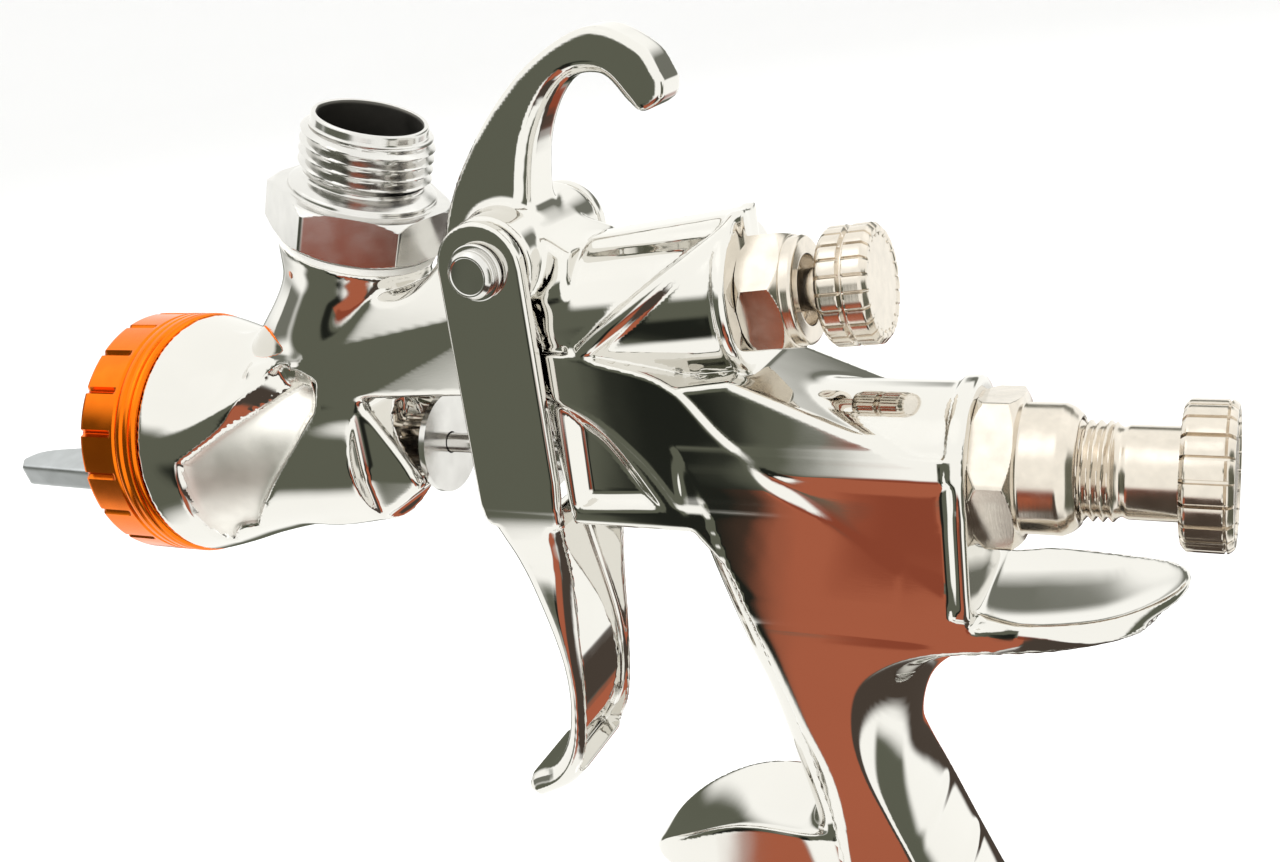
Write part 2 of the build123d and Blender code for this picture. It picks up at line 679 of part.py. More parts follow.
with BuildPart() as fan_knob_screw:
    with BuildSketch(FAN_SIDE.offset(2.4)):
        with Locations(((FAN_KNOB_START + FAN_KNOB_END) / 2, 0)):
            Circle(0.97)
    extrude(amount=3)
fan_knob_screw.part.label = "fan_knob_screw"
export_step(fan_knob_screw.part, "parts/fan_knob_screw.step")

# ---- air inlet -----------------------------------------------------------------------
with BuildPart() as air_inlet:
    with BuildSketch(INLET):
        Circle(INLET_THREAD_R)
    extrude(amount=-11)
    with BuildSketch(INLET.offset(-10.8)):
        RegularPolygon(8.5, 6, major_radius=False)
    extrude(amount=-4.4)
    with BuildSketch(INLET.offset(-15)):
        Circle(6.35)
    extrude(amount=-10)
    with BuildSketch(INLET.offset(1)):
        Circle(AIRWAY_R)
    extrude(amount=-30, mode=Mode.SUBTRACT)
air_inlet.part.label = "air_inlet"
export_step(air_inlet.part, "parts/air_inlet.step")

with BuildPart() as inlet_gasket:
    with BuildSketch(INLET.offset(-15.25)):
        Circle(8.4)
        Circle(6.4, mode=Mode.SUBTRACT)
    extrude(amount=-0.7)
inlet_gasket.part.label = "inlet_gasket"
export_step(inlet_gasket.part, "parts/inlet_gasket.step")
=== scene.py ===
"""Looks of the spray gun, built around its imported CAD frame.

The gun's cast body, trigger and air cap are modelled as signed distances, which are meshed
on a grid. Turned pieces are swept from a profile. Sizes here are millimetres measured from
the spray-axis datum: the point on the spray axis at the rear rim of the air cap ring, with
+X to the rear and +Z up. new_object() turns them into metres in the frame.
"""

import json
import math

import bmesh
import bpy
import numpy as np
from mathutils import Matrix, Vector


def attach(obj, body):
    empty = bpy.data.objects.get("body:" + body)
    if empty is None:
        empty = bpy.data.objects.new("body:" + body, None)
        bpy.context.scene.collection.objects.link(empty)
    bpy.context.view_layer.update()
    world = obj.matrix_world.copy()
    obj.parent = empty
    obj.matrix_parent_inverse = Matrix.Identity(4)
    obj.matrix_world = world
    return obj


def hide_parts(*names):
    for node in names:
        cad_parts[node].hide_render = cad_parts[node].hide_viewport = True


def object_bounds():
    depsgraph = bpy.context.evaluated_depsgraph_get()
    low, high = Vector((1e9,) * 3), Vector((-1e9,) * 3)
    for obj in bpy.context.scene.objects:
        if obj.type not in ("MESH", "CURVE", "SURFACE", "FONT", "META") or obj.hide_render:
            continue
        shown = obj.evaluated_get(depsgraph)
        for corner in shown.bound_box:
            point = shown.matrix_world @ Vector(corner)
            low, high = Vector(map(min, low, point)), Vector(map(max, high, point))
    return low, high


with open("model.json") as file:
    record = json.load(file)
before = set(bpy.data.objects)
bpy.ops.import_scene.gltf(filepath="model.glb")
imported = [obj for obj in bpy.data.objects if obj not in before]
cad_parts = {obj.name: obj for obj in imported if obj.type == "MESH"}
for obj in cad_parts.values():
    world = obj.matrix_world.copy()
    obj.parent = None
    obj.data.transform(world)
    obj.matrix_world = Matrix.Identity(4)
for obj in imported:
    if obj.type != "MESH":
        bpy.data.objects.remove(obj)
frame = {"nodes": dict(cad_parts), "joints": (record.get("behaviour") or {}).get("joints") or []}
CAD_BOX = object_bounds()

# ---- the frame in millimetres ----------------------------------------------------------
MM = 0.001
PIVOT = (53.0, 0.0, 25.4)
JOINTS = {j["name"]: j for j in frame["joints"]}
DATUM = np.array(JOINTS["trigger_pull"]["pos_m"]) - np.array(PIVOT) * MM

CUP_TOP = (34.8, 0.0, 41.4)
CUP_TILT = math.radians(20.0)
CUP_AXIS = (math.sin(CUP_TILT), 0.0, math.cos(CUP_TILT))
CUP_LENGTH = 16.2
FAN_END = (81.0, 0.0, 19.2)
FAN_TILT = math.radians(5.0)
FAN_AXIS = (math.cos(FAN_TILT), 0.0, math.sin(FAN_TILT))
INLET_END = (115.5, 0.0, -110.0)
INLET_TILT = math.radians(20.0)
INLET_AXIS = (math.sin(INLET_TILT), 0.0, -math.cos(INLET_TILT))
INLET_STAND = 16.0
SPRAY = (1.0, 0.0, 0.0)
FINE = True


# ---- curves ----------------------------------------------------------------------------
def spline(points, steps=6):
    """Points along a Catmull-Rom curve through the given ones."""
    p = np.array(points, float)
    p = np.vstack([2 * p[0] - p[1], p, 2 * p[-1] - p[-2]])
    t = np.linspace(0, 1, steps, endpoint=False)[:, None]
    out = []
    for a, b, c, d in zip(p, p[1:], p[2:], p[3:]):
        out.append(
            0.5 * (2 * b + (c - a) * t + (2 * a - 5 * b + 4 * c - d) * t**2
                   + (3 * b - a - 3 * c + d) * t**3)
        )
    return np.vstack(out + [p[-2:-1]])


def outline(*runs):
    """A closed outline from runs of points: two points are a straight edge, more are a curve."""
    rows = [spline(run) if len(run) > 2 else np.array(run, float) for run in runs]
    points = np.vstack(rows)
    keep = np.linalg.norm(points - np.roll(points, 1, 0), axis=1) > 1e-6
    return points[keep]


def along(value, pairs):
    """A smooth function of value through (value, result) pairs."""
    curve = spline(sorted(pairs), 8)
    return np.interp(value, curve[:, 0], curve[:, 1])


# ---- signed distances ------------------------------------------------------------------
def join(a, b, k):
    """Union, with a fillet of about k."""
    h = np.maximum(k - np.abs(a - b), 0) / k
    return np.minimum(a, b) - h**3 * k / 6


def meet(a, b, k):
    """Intersection, with a rounded edge of about k."""
    return -join(-a, -b, k)


def cut(a, b, k):
    """a less b, with a rounded edge of about k."""
    return -join(-a, b, k)


def shape(x, z, points):
    """Signed distance in the plane to a closed outline."""
    best = np.full(np.broadcast(x, z).shape, 1e9)
    sign = np.ones_like(best)
    for a, b in zip(np.roll(points, 1, 0), points):
        ex, ez = b - a
        wx, wz = x - a[0], z - a[1]
        t = np.clip((wx * ex + wz * ez) / (ex * ex + ez * ez), 0, 1)
        best = np.minimum(best, (wx - ex * t) ** 2 + (wz - ez * t) ** 2)
        above, below, left = z >= a[1], z < b[1], ex * wz > ez * wx
        sign = np.where((above & below & left) | (~above & ~below & ~left), -sign, sign)
    return sign * np.sqrt(best)


def slab(flat, across, half, r):
    """An outline's distance carried across to a half width, with edges rounded by r."""
    u, v = flat + r, across - half + r
    return np.hypot(np.maximum(u, 0), np.maximum(v, 0)) + np.minimum(np.maximum(u, v), 0) - r


def rod(x, y, z, start, axis, length, radius, r=0.0):
    """A cylinder from start along a unit axis."""
    dx, dy, dz = x - start[0], y - start[1], z - start[2]
    s = dx * axis[0] + dy * axis[1] + dz * axis[2]
    rho = np.sqrt(np.maximum(dx * dx + dy * dy + dz * dz - s * s, 0))
    return slab(rho - radius, np.abs(s - length / 2), length / 2, r)


# ---- meshing ---------------------------------------------------------------------------
CORNERS = [(i, j, k) for i in (0, 1) for j in (0, 1) for k in (0, 1)]
EDGES = [(a, b) for a in CORNERS for b in CORNERS
         if a < b and sum(abs(p - q) for p, q in zip(a, b)) == 1]


def sample(values, at):
    """Trilinear values of a grid at fractional positions."""
    at = np.clip(at, 0, np.array(values.shape) - 1.001)
    base = at.astype(int)
    f = at - base
    total = 0
    for i, j, k in CORNERS:
        w = (f[:, 0] if i else 1 - f[:, 0]) * (f[:, 1] if j else 1 - f[:, 1])
        w = w * (f[:, 2] if k else 1 - f[:, 2])
        total = total + w * values[base[:, 0] + i, base[:, 1] + j, base[:, 2] + k]
    return total


def surface_net(values):
    """Vertices, quads and normals of the zero level of a grid, in grid units."""
    inside = values < 0
    n = np.array(values.shape) - 1
    count = sum(inside[i:n[0] + i, j:n[1] + j, k:n[2] + k].astype(np.int8) for i, j, k in CORNERS)
    active = (count > 0) & (count < 8)
    index = np.full(active.shape, -1)
    cells = np.argwhere(active)
    index[active] = np.arange(len(cells))
    total, hits = np.zeros((len(cells), 3)), np.zeros((len(cells), 1))
    for a, b in EDGES:
        pa, pb = cells + a, cells + b
        va, vb = values[tuple(pa.T)], values[tuple(pb.T)]
        crossing = (va < 0) != (vb < 0)
        t = (va / np.where(crossing, va - vb, 1))[:, None]
        total += np.where(crossing[:, None], pa + t * (pb - pa), 0)
        hits += crossing[:, None]
    verts = total / hits
    quads = []
    for axis in range(3):
        u, v = (axis + 1) % 3, (axis + 2) % 3
        low = [slice(1, -1)] * 3
        high = [slice(1, -1)] * 3
        low[axis], high[axis] = slice(0, -1), slice(1, None)
        a, b = inside[tuple(low)], inside[tuple(high)]
        at = np.argwhere(a != b)
        outward = a[tuple(at.T)]
        at[:, u] += 1
        at[:, v] += 1
        ring = []
        for du, dv in ((-1, -1), (0, -1), (0, 0), (-1, 0)):
            cell = at.copy()
            cell[:, u] += du
            cell[:, v] += dv
            ring.append(index[tuple(cell.T)])
        ring = np.stack(ring, 1)
        quads.append(np.where(outward[:, None], ring, ring[:, ::-1]))
    steps = np.eye(3)
    normals = np.stack([sample(values, verts + s) - sample(values, verts - s) for s in steps], 1)
    normals /= np.maximum(np.linalg.norm(normals, axis=1, keepdims=True), 1e-9)
    return verts, np.vstack(quads), normals


def new_object(name, verts, faces, normals=None, sharp=None):
    """A mesh object, from vertices in millimetres from the datum."""
    mesh = bpy.data.meshes.new(name)
    rows = np.asarray(verts, float) * MM + DATUM
    mesh.from_pydata(rows.tolist(), [], faces.tolist() if isinstance(faces, np.ndarray) else faces)
    mesh.validate()
    mesh.polygons.foreach_set("use_smooth", np.ones(len(mesh.polygons), bool))
    if normals is not None:
        mesh.normals_split_custom_set_from_vertices(normals.tolist())
    elif sharp is not None:
        mesh.set_sharp_from_angle(angle=math.radians(sharp))
    mesh.update()
    obj = bpy.data.objects.new(name, mesh)
    bpy.context.scene.collection.objects.link(obj)
    return obj


def carve(name, distance, low, high, cell):
    """A mesh of the zero level of distance(x, |y|, z), symmetric about the plane y = 0."""
    cell = cell if FINE else cell * 2
    x = np.arange(low[0], high[0] + cell, cell)[:, None, None]
    y = (np.arange(0, high[1] / cell + 1)[None, :, None] + 0.5) * cell
    z = np.arange(low[2], high[2] + cell, cell)[None, None, :]
    half = distance(x, y, z).astype(np.float32)
    values = np.concatenate([half[:, ::-1], half], 1)
    verts, quads, normals = surface_net(values)
    origin = np.array([low[0], -y[0, -1, 0], low[2]])
    return new_object(name, verts * cell + origin, quads, normals)


def lathe(name, start, axis, profile, relief=None, sides=144, step=None, sharp=25):
    """A piece swept round an axis. profile runs (distance along, radius); relief adjusts the radius."""
    profile = np.array(profile, float)
    if step:
        rows = [profile[:1]]
        for a, b in zip(profile, profile[1:]):
            n = max(1, int(math.ceil(np.linalg.norm(b - a) / step)))
            rows.append(a + (b - a) * np.linspace(0, 1, n + 1)[1:, None])
        profile = np.vstack(rows)
    axis = np.array(axis, float)
    across = np.array((0.0, 0.0, 1.0) if abs(axis[1]) > 0.9 else (0.0, 1.0, 0.0))
    up = np.cross(across, axis)
    theta = np.arange(sides) * (2 * np.pi / sides)
    s = profile[:, :1] + 0 * theta
    r = profile[:, 1:] + 0 * theta
    if relief:
        r = relief(theta + 0 * r, s, r)
    ring = np.cos(theta)[:, None] * up + np.sin(theta)[:, None] * across
    verts = np.array(start) + s[..., None] * axis + r[..., None] * ring
    rows, cols = len(profile), sides
    i, j = np.meshgrid(np.arange(rows - 1), np.arange(cols), indexing="ij")
    k = (j + 1) % cols
    faces = np.stack([i * cols + j, (i + 1) * cols + j, (i + 1) * cols + k, i * cols + k], -1)
    obj = new_object(name, verts.reshape(-1, 3), faces.reshape(-1, 4))
    tidy(obj, sharp)
    return obj


WELD = 2e-7
SMALLEST_EDGE = 1e-7


def tidy(obj, sharp):
    """Welds coincident points, faces the surface outward and marks its sharp edges."""
    mesh = bmesh.new()
    mesh.from_mesh(obj.data)
    bmesh.ops.remove_doubles(mesh, verts=mesh.verts, dist=WELD)
    bmesh.ops.dissolve_degenerate(mesh, edges=mesh.edges, dist=SMALLEST_EDGE)
    bmesh.ops.recalc_face_normals(mesh, faces=mesh.faces)
    for face in mesh.faces:
        face.smooth = True
    mesh.to_mesh(obj.data)
    mesh.free()
    obj.data.set_sharp_from_angle(angle=math.radians(sharp))


def soften(points, size=0.2):
    """A profile with every inner corner rounded by about size."""
    points = [np.array(p, float) for p in points]
    out = [points[0]]
    for a, p, b in zip(points, points[1:], points[2:]):
        into, away = a - p, b - p
        la, lb = np.linalg.norm(into), np.linalg.norm(away)
        t = min(size, 0.4 * la, 0.4 * lb)
        if t < 1e-4:
            out.append(p)
            continue
        p1, p2 = p + into / la * t, p + away / lb * t
        out += [p1, 0.25 * p1 + 0.5 * p + 0.25 * p2, p2]
    return np.array(out + [points[-1]])


def polygon_limit(theta, flats, sides=6, turn=0.0):
    """Radius of a regular polygon, given across flats, at each angle."""
    sector = 2 * np.pi / sides
    off = (theta - turn) % sector - sector / 2
    return flats / 2 / np.cos(off)


def helix_wave(theta, s, pitch):
    """A thread's height, 0 in the root and 1 on the crest, with a narrow flat at both."""
    phase = (s / pitch + theta / (2 * np.pi)) % 1.0
    return np.clip(1.25 * (0.5 - np.abs(2 * phase - 1.0)) + 0.5, 0.0, 1.0)


# ---- the cast body ---------------------------------------------------------------------
SEAT = np.array(CUP_TOP) - CUP_LENGTH * np.array(CUP_AXIS)
HEAD_REAR = 29.3
BELL = [(-1, 16.4), (1, 16.1), (5, 15.0), (10, 13.4), (16, 11.9), (22, 10.9), (30, 10.2), (36, 9.6)]
KEEL = outline([(12, -8), (20, -10.2), (28.4, -8.6), (34.4, -5.2), (36.8, -1.9), (31.4, 6.9)],
               [(31.4, 6.9), (28.4, 15.6)], [(28.4, 15.6), (14, 12)])
LEAF = outline([(5.4, 1.6), (5.0, -3.0), (4.6, -8.0), (5.2, -12.8)],
               [(5.2, -12.8), (8.4, -9.8), (11.2, -9.4)],
               [(11.2, -9.4), (16.0, -3.8), (21.2, 2.6), (23.6, 6.8)],
               [(23.6, 6.8), (22.8, 9.2), (20.4, 9.8)],
               [(20.4, 9.8), (11.4, 5.2), (5.4, 1.6)])
BRIDGE = outline([(24, 20), (24, 8.5)], [(24, 8.5), (57, 8.5)], [(57, 8.5), (62, 14)],
                 [(62, 14), (62, 26)], [(62, 26), (57, 28.4)], [(57, 28.4), (46, 27.6)],
                 [(46, 27.6), (42.5, 23.6), (38.5, 21.4), (34, 21.2)], [(34, 21.2), (24, 20)])
HOOK = outline([(44.7, 24), (45.0, 27.9), (47.6, 34.0), (52.9, 41.3), (59.0, 46.7), (66.2, 49.5),
                (71.9, 46.9), (74.1, 43.2)],
               [(74.1, 43.2), (73.6, 41.3), (71.2, 40.2), (69.4, 41.2)],
               [(69.4, 41.2), (66.4, 44.4), (61.6, 43.6), (57.6, 37.6), (55.9, 28), (55.9, 24)])
HOOK_HOLLOW = outline([(69.4, 41.2), (66.4, 44.4), (61.6, 43.6), (57.6, 37.6), (55.9, 28), (55.9, 20)],
                      [(55.9, 20), (80, 20)], [(80, 20), (69.4, 41.2)])
HOUSING = outline([(57.2, 9), (58.4, -6.3)], [(58.4, -6.3), (73.7, -6.3)], [(73.7, -6.3), (80, -14)],
                  [(80, -14), (97, -14)], [(97, -14), (100, 4)], [(100, 4), (80, 12)],
                  [(80, 12), (57.2, 9)])
POCKET = outline([(59.4, 8.6), (61, 8.0), (65.1, 4.7), (69.6, -2.0), (70.4, -3.6)],
                 [(70.4, -3.6), (59.2, -4.3)], [(59.2, -4.3), (59.4, 8.6)])
BEHIND_BEVEL = outline([(30, 11), (55, 10.4)],
                       [(55, 10.4), (58.8, 9.3), (64.2, 6.7), (69.7, 1.4), (74.7, -6.9), (80.7, -19.1),
                        (84.5, -29.2), (88.0, -38.2), (89.4, -52), (90.8, -72), (94, -100)],
                       [(94, -100), (96, -130)], [(96, -130), (150, -130)], [(150, -130), (150, 60)],
                       [(150, 60), (30, 60)], [(30, 60), (30, 11)])
UNDER_CREASE = outline([(40, 15.4), (59.1, 15.0), (65.3, 14.0), (73.0, 11.6), (78.6, 5.6), (85.3, 0.0),
                        (93.4, -7.1), (99, -10.6), (106, -13.0)],
                       [(106, -13.0), (106, -130)], [(106, -130), (40, -130)], [(40, -130), (40, 15.4)])
SCOOP = outline([(79.2, 5.2), (84.4, 1.6), (92, 1.2), (103.1, 1.2)], [(103.1, 1.2), (103.1, -12.4)],
                [(103.1, -12.4), (98.6, -10.3), (93.4, -6.7), (87.1, -1.9), (83.4, 1.0), (79.2, 5.2)])
GRIP_FRONT = [(8, 66), (0, 70.4), (-7, 72.0), (-14.6, 74.2), (-22, 76.6), (-29.2, 79.2), (-43.8, 82.8),
              (-58.4, 86.0), (-73, 90.2), (-87.6, 95.4), (-102, 100.6), (-120, 107)]
GRIP_SPINE = [(8, 130), (-12, 130), (-15, 124), (-17.6, 110.4), (-20, 104.6), (-24, 99.6), (-28.9, 97.0),
              (-35.9, 96.0), (-42.7, 97.4), (-49.4, 100.2), (-58.4, 104.8), (-73, 111.2), (-87.6, 116.6),
              (-102, 121.8), (-120, 128)]
PALM_EDGE = [(8, 118), (-12, 118), (-16.5, 113), (-19, 100), (-21.5, 94), (-24.6, 91.2), (-29.8, 90.6),
             (-34.9, 91.8), (-40.5, 94.4), (-46.4, 97.2), (-58.4, 102.0), (-73, 108.2), (-87.6, 113.6),
             (-102, 118.8), (-120, 125)]
GRIP_HALF = [(20, 8.8), (0, 8.8), (-14, 8.9), (-29, 9.2), (-44, 9.9), (-58, 10.3), (-73, 10.5),
             (-88, 10.7), (-120, 10.8)]
WEB_TOP = [(94, -10.5), (98, -12), (104, -13.8), (110, -14.5), (118, -13.5), (124, -11.4), (128, -9.4)]
WEB_BOTTOM = [(94, -22), (100, -19.4), (108, -18.2), (117.5, -16.8), (123.5, -14.0), (128, -11.4)]
FINGER_TOP = [(56, -58.5), (59.4, -55.5), (62, -52.8), (66.5, -50.2), (74, -47.2), (81.3, -46.8),
              (90, -47.5)]
FINGER_BOTTOM = [(56, -56.5), (59.4, -56.4), (62, -57), (67, -57), (75, -55.2), (88, -52.6), (92, -52)]
NECK_SHIFT = [(-24, 3.0), (-17, 1.9), (-11, 0.7), (-6, 0), (0, 0)]
NECK_SQUEEZE = [(-24, 2.4), (-20, 2.0), (-17, 1.5), (-12, 1.12), (-6, 1.0), (0, 1.0)]
NECK_RADIUS = [(-26, 13), (-18, 11.2), (-13, 9.9), (-9, 9.0), (-5, 8.6), (-1.8, 9.2), (0, 9.6), (2, 9.6)]
HOOK_HALF = [(46, 4.8), (60, 3.9), (70, 3.0), (76, 2.7), (82, 2.5)]
FAN_CREST = outline([(63, 26.4), (79.6, 28.6)], [(79.6, 28.6), (81.2, 28.9)],
                    [(81.2, 28.9), (81.4, 19)], [(81.4, 19), (63, 20)])
REAR_SKIRT = outline([(103, -2), (105, -2)], [(105, -2), (105, -14.0)],
                     [(105, -14.0), (103, -14.0)], [(103, -14.0), (103, -2)])
FAN_BARREL_R = 8.3
FAN_BARREL_LENGTH = 23.4
HEAD_THREAD_R = 14.4
HOUSING_HALF = 8.6
# start, end and radius along the spray axis: front chamber, nozzle, fluid way, packing, air valve
BORES = ((-6, 3, 10.5), (2, 13, 5.5), (12, 25, 2.6), (24, 29.4, 3.05), (56, 59.5, 5.6),
         (59, 67.5, 5.53), (67, 79, 4.2), (78, 106, 6.9))


def spray_head(x, y, z):
    """The bell behind the ring, with its keel, shoulders and leaf-shaped hollow."""
    rho = np.hypot(y, z)
    bell = meet((rho - along(x, BELL)) * 0.95, np.maximum(0.3 - x, x - HEAD_REAR), 0.3)
    keel = slab(shape(x, z, KEEL), y, 7.9 - 0.25 * np.maximum(-z - 2, 0), 0.8)
    rise, width = 2.9 + 0.44 * x, 14.7 - 0.24 * x
    shoulder = meet((z - rise - 0.62 * (width - y)) * 0.8, y - width, 0.8)
    shoulder = meet(shoulder, np.maximum(np.maximum(2.0 - x, x - 30), -z), 0.6)
    head = join(join(bell, shoulder, 1.6), keel, 2.0)
    well = np.maximum(rho - 6.3, HEAD_REAR - x)
    head = cut(head, well, 0.5)
    leaf = shape(x, z, LEAF)
    return meet(head, np.where(leaf < 3, (rho - leaf_floor(x, leaf)) * 0.8, -5.0), 0.2)


def leaf_floor(x, leaf):
    """Radius of the leaf-shaped hollow's floor, from the distance to the leaf's outline."""
    return along(x, BELL) - 1.1 * (1 - np.exp(np.minimum(leaf + 0.15, 0) * 3.0)) + np.maximum(leaf, 0)


def cup_neck(x, y, z):
    """The tilted neck under the cup fitting, squeezed where it runs into the head."""
    dx, dz = x - SEAT[0], z - SEAT[2]
    s = dx * CUP_AXIS[0] + dz * CUP_AXIS[2]
    forward = dx * CUP_AXIS[2] - dz * CUP_AXIS[0] + along(s, NECK_SHIFT)
    squeeze = along(s, NECK_SQUEEZE)
    t = np.sqrt(forward * forward + (y * squeeze) ** 2)
    radius = along(s, NECK_RADIUS)
    return meet((t - radius) * 0.85, np.maximum(s, -22 - s), 0.4)


def bridge(x, y, z):
    """The bar over the window, with the boss for the trigger pin."""
    low = 7.6 + (x - 28.1) * 0.47
    high = 14.9 + (x - 28.1) * 0.2
    half = 8.3 - 0.42 * np.maximum(z - high, 0) - 0.3 * np.maximum(low - z, 0)
    side = slab(shape(x, z, BRIDGE), y, np.maximum(half, 3.0), 0.9)
    boss = rod(x, y, z, (PIVOT[0], -9, PIVOT[2]), (0, 1, 0), 18, 5.6, 0.5)
    return join(side, np.maximum(boss, y - 8.9), 1.2)


def hanging_hook(x, y, z):
    """The hook on the bridge, thinner towards its tip and on its inside."""
    half = along(0.6 * x + 0.8 * z, HOOK_HALF)
    inner = np.maximum(1.1 - shape(x, z, HOOK_HOLLOW), 0)
    return slab(shape(x, z, HOOK), y, half - 0.9 * inner, 0.6)


def fan_barrel(x, y, z):
    """The barrel of the upper control, with a slanting ridge on each side and a crest."""
    start = (57.5, 0, FAN_END[2] - FAN_BARREL_LENGTH * math.tan(FAN_TILT))
    barrel = rod(x, y, z, start, FAN_AXIS, FAN_BARREL_LENGTH, FAN_BARREL_R, 0.4)
    t = np.clip((x - 62.0) / 18.0, 0, 1)
    ridge_z = 14.6 + 12.2 * t
    axis_z = FAN_END[2] + (x - FAN_END[0]) * math.tan(FAN_TILT)
    ridge_y = np.sqrt(np.maximum(FAN_BARREL_R**2 - (ridge_z - axis_z) ** 2, 4.0))
    ridge = np.sqrt((y - ridge_y + 0.5) ** 2 + ((z - ridge_z) * 0.83) ** 2) - 1.3
    ridge = np.maximum(ridge, np.maximum(61.0 - x, x - 80.4))
    flange = rod(x, y, z, (FAN_END[0] - 1.5, 0, FAN_END[2] - 0.13), FAN_AXIS, 1.5, 8.9, 0.3)
    crest = slab(shape(x, z, FAN_CREST), y, 2.2, 0.5)
    return join(join(join(barrel, ridge, 0.4), crest, 3.0), flange, 0.8)


def rear_barrel(x, y, z):
    """The barrel of the fluid control, with its end flange and skirt."""
    rho = np.hypot(y, z)
    barrel = slab(rho - 9.2, np.abs(x - 89), 15.9, 0.4)
    flange = slab(rho - 9.8, np.abs(x - 104), 1.0, 0.35)
    skirt = slab(shape(x, z, REAR_SKIRT), y, 9.6, 0.35)
    return join(join(barrel, flange, 0.4), skirt, 0.4)


def grip(x, y, z):
    """The handle: a bevelled front, a rounded ribbed palm and a squared base."""
    half = along(z, GRIP_HALF)
    ahead = shape(x, z, BEHIND_BEVEL)
    bevel = np.minimum((ahead + np.sqrt(ahead * ahead + 0.16)) / 2, 2.4)
    side = (y - half + bevel * 0.8) * 0.85
    front = along(z, GRIP_FRONT)
    nose = (np.hypot((x - front - 4.6) / 4.6, y / 7.4) - 1) * 4.6
    nose = np.where(x < front + 4.6, nose, -4.0)
    edge, spine = along(z, PALM_EDGE), along(z, GRIP_SPINE)
    depth = np.maximum(spine - edge, 1.5)
    reach = depth * 1.25
    lift = 1 / math.sqrt(1 - (0.25 / 1.25) ** 2)
    palm = np.hypot(np.maximum(x - spine + reach, 0) / reach, y / (half * lift)) - 1
    rib = ((x - 100.6) * 0.386 - (z + 43.4) * 0.922 + 3.9) % 7.8 - 3.9
    ribbed = np.clip(1.5 - np.abs(rib) / 0.7, 0, 1) * np.clip((-41 - z) / 2, 0, 1)
    ribbed = ribbed * np.clip((x - edge - 1) / 2, 0, 1)
    palm = palm * np.minimum(reach, half) - 0.4 * ribbed
    body = meet(meet(side, nose, 0.5), palm, 0.35)
    base = (x - INLET_END[0]) * INLET_AXIS[0] + (z - INLET_END[2]) * INLET_AXIS[2] + INLET_STAND
    body = meet(body, base, 1.2)
    body = np.maximum(body, np.minimum(z + 15.5, x - 104.5))
    return np.maximum(body, z - 4)


def web_rest(x, y, z):
    """The tongue behind the grip that lies on the web of the hand."""
    top = along(x, WEB_TOP) + 1.3 * (y / 9.4) ** 2 - 0.7
    bottom = along(x, WEB_BOTTOM) + 2.0 * (y / 9.4) ** 2
    bulk = meet((z - top) * 0.96, (bottom - z) * 0.9, 0.7)
    wide = 5.0 + 4.5 * np.clip((x - 96) / 14, 0, 1)
    plan = (np.hypot(np.maximum(x - 109, 0) / 17.0, y / wide) - 1) * wide
    return np.maximum(meet(bulk, plan, 1.0), 96 - x)


def finger_rest(x, y, z):
    """The tongue in front of the grip, below the trigger."""
    top = along(x, FINGER_TOP) + 1.0 * (y / 7.5) ** 2 - 0.5
    bottom = along(x, FINGER_BOTTOM) + 1.6 * (y / 7.5) ** 2
    bulk = meet((z - top) * 0.8, (bottom - z) * 0.9, 0.8)
    plan = (np.hypot(np.minimum(x - 71, 0) / 11.6, y / 7.5) - 1) * 7.5
    return np.maximum(meet(bulk, plan, 1.0), x - 90)


def pin_hole(x, y, z, radius):
    """The hole for the trigger pin, right across the gun."""
    return rod(x, y, z, (PIVOT[0], -20, PIVOT[2]), (0, 1, 0), 40, radius)


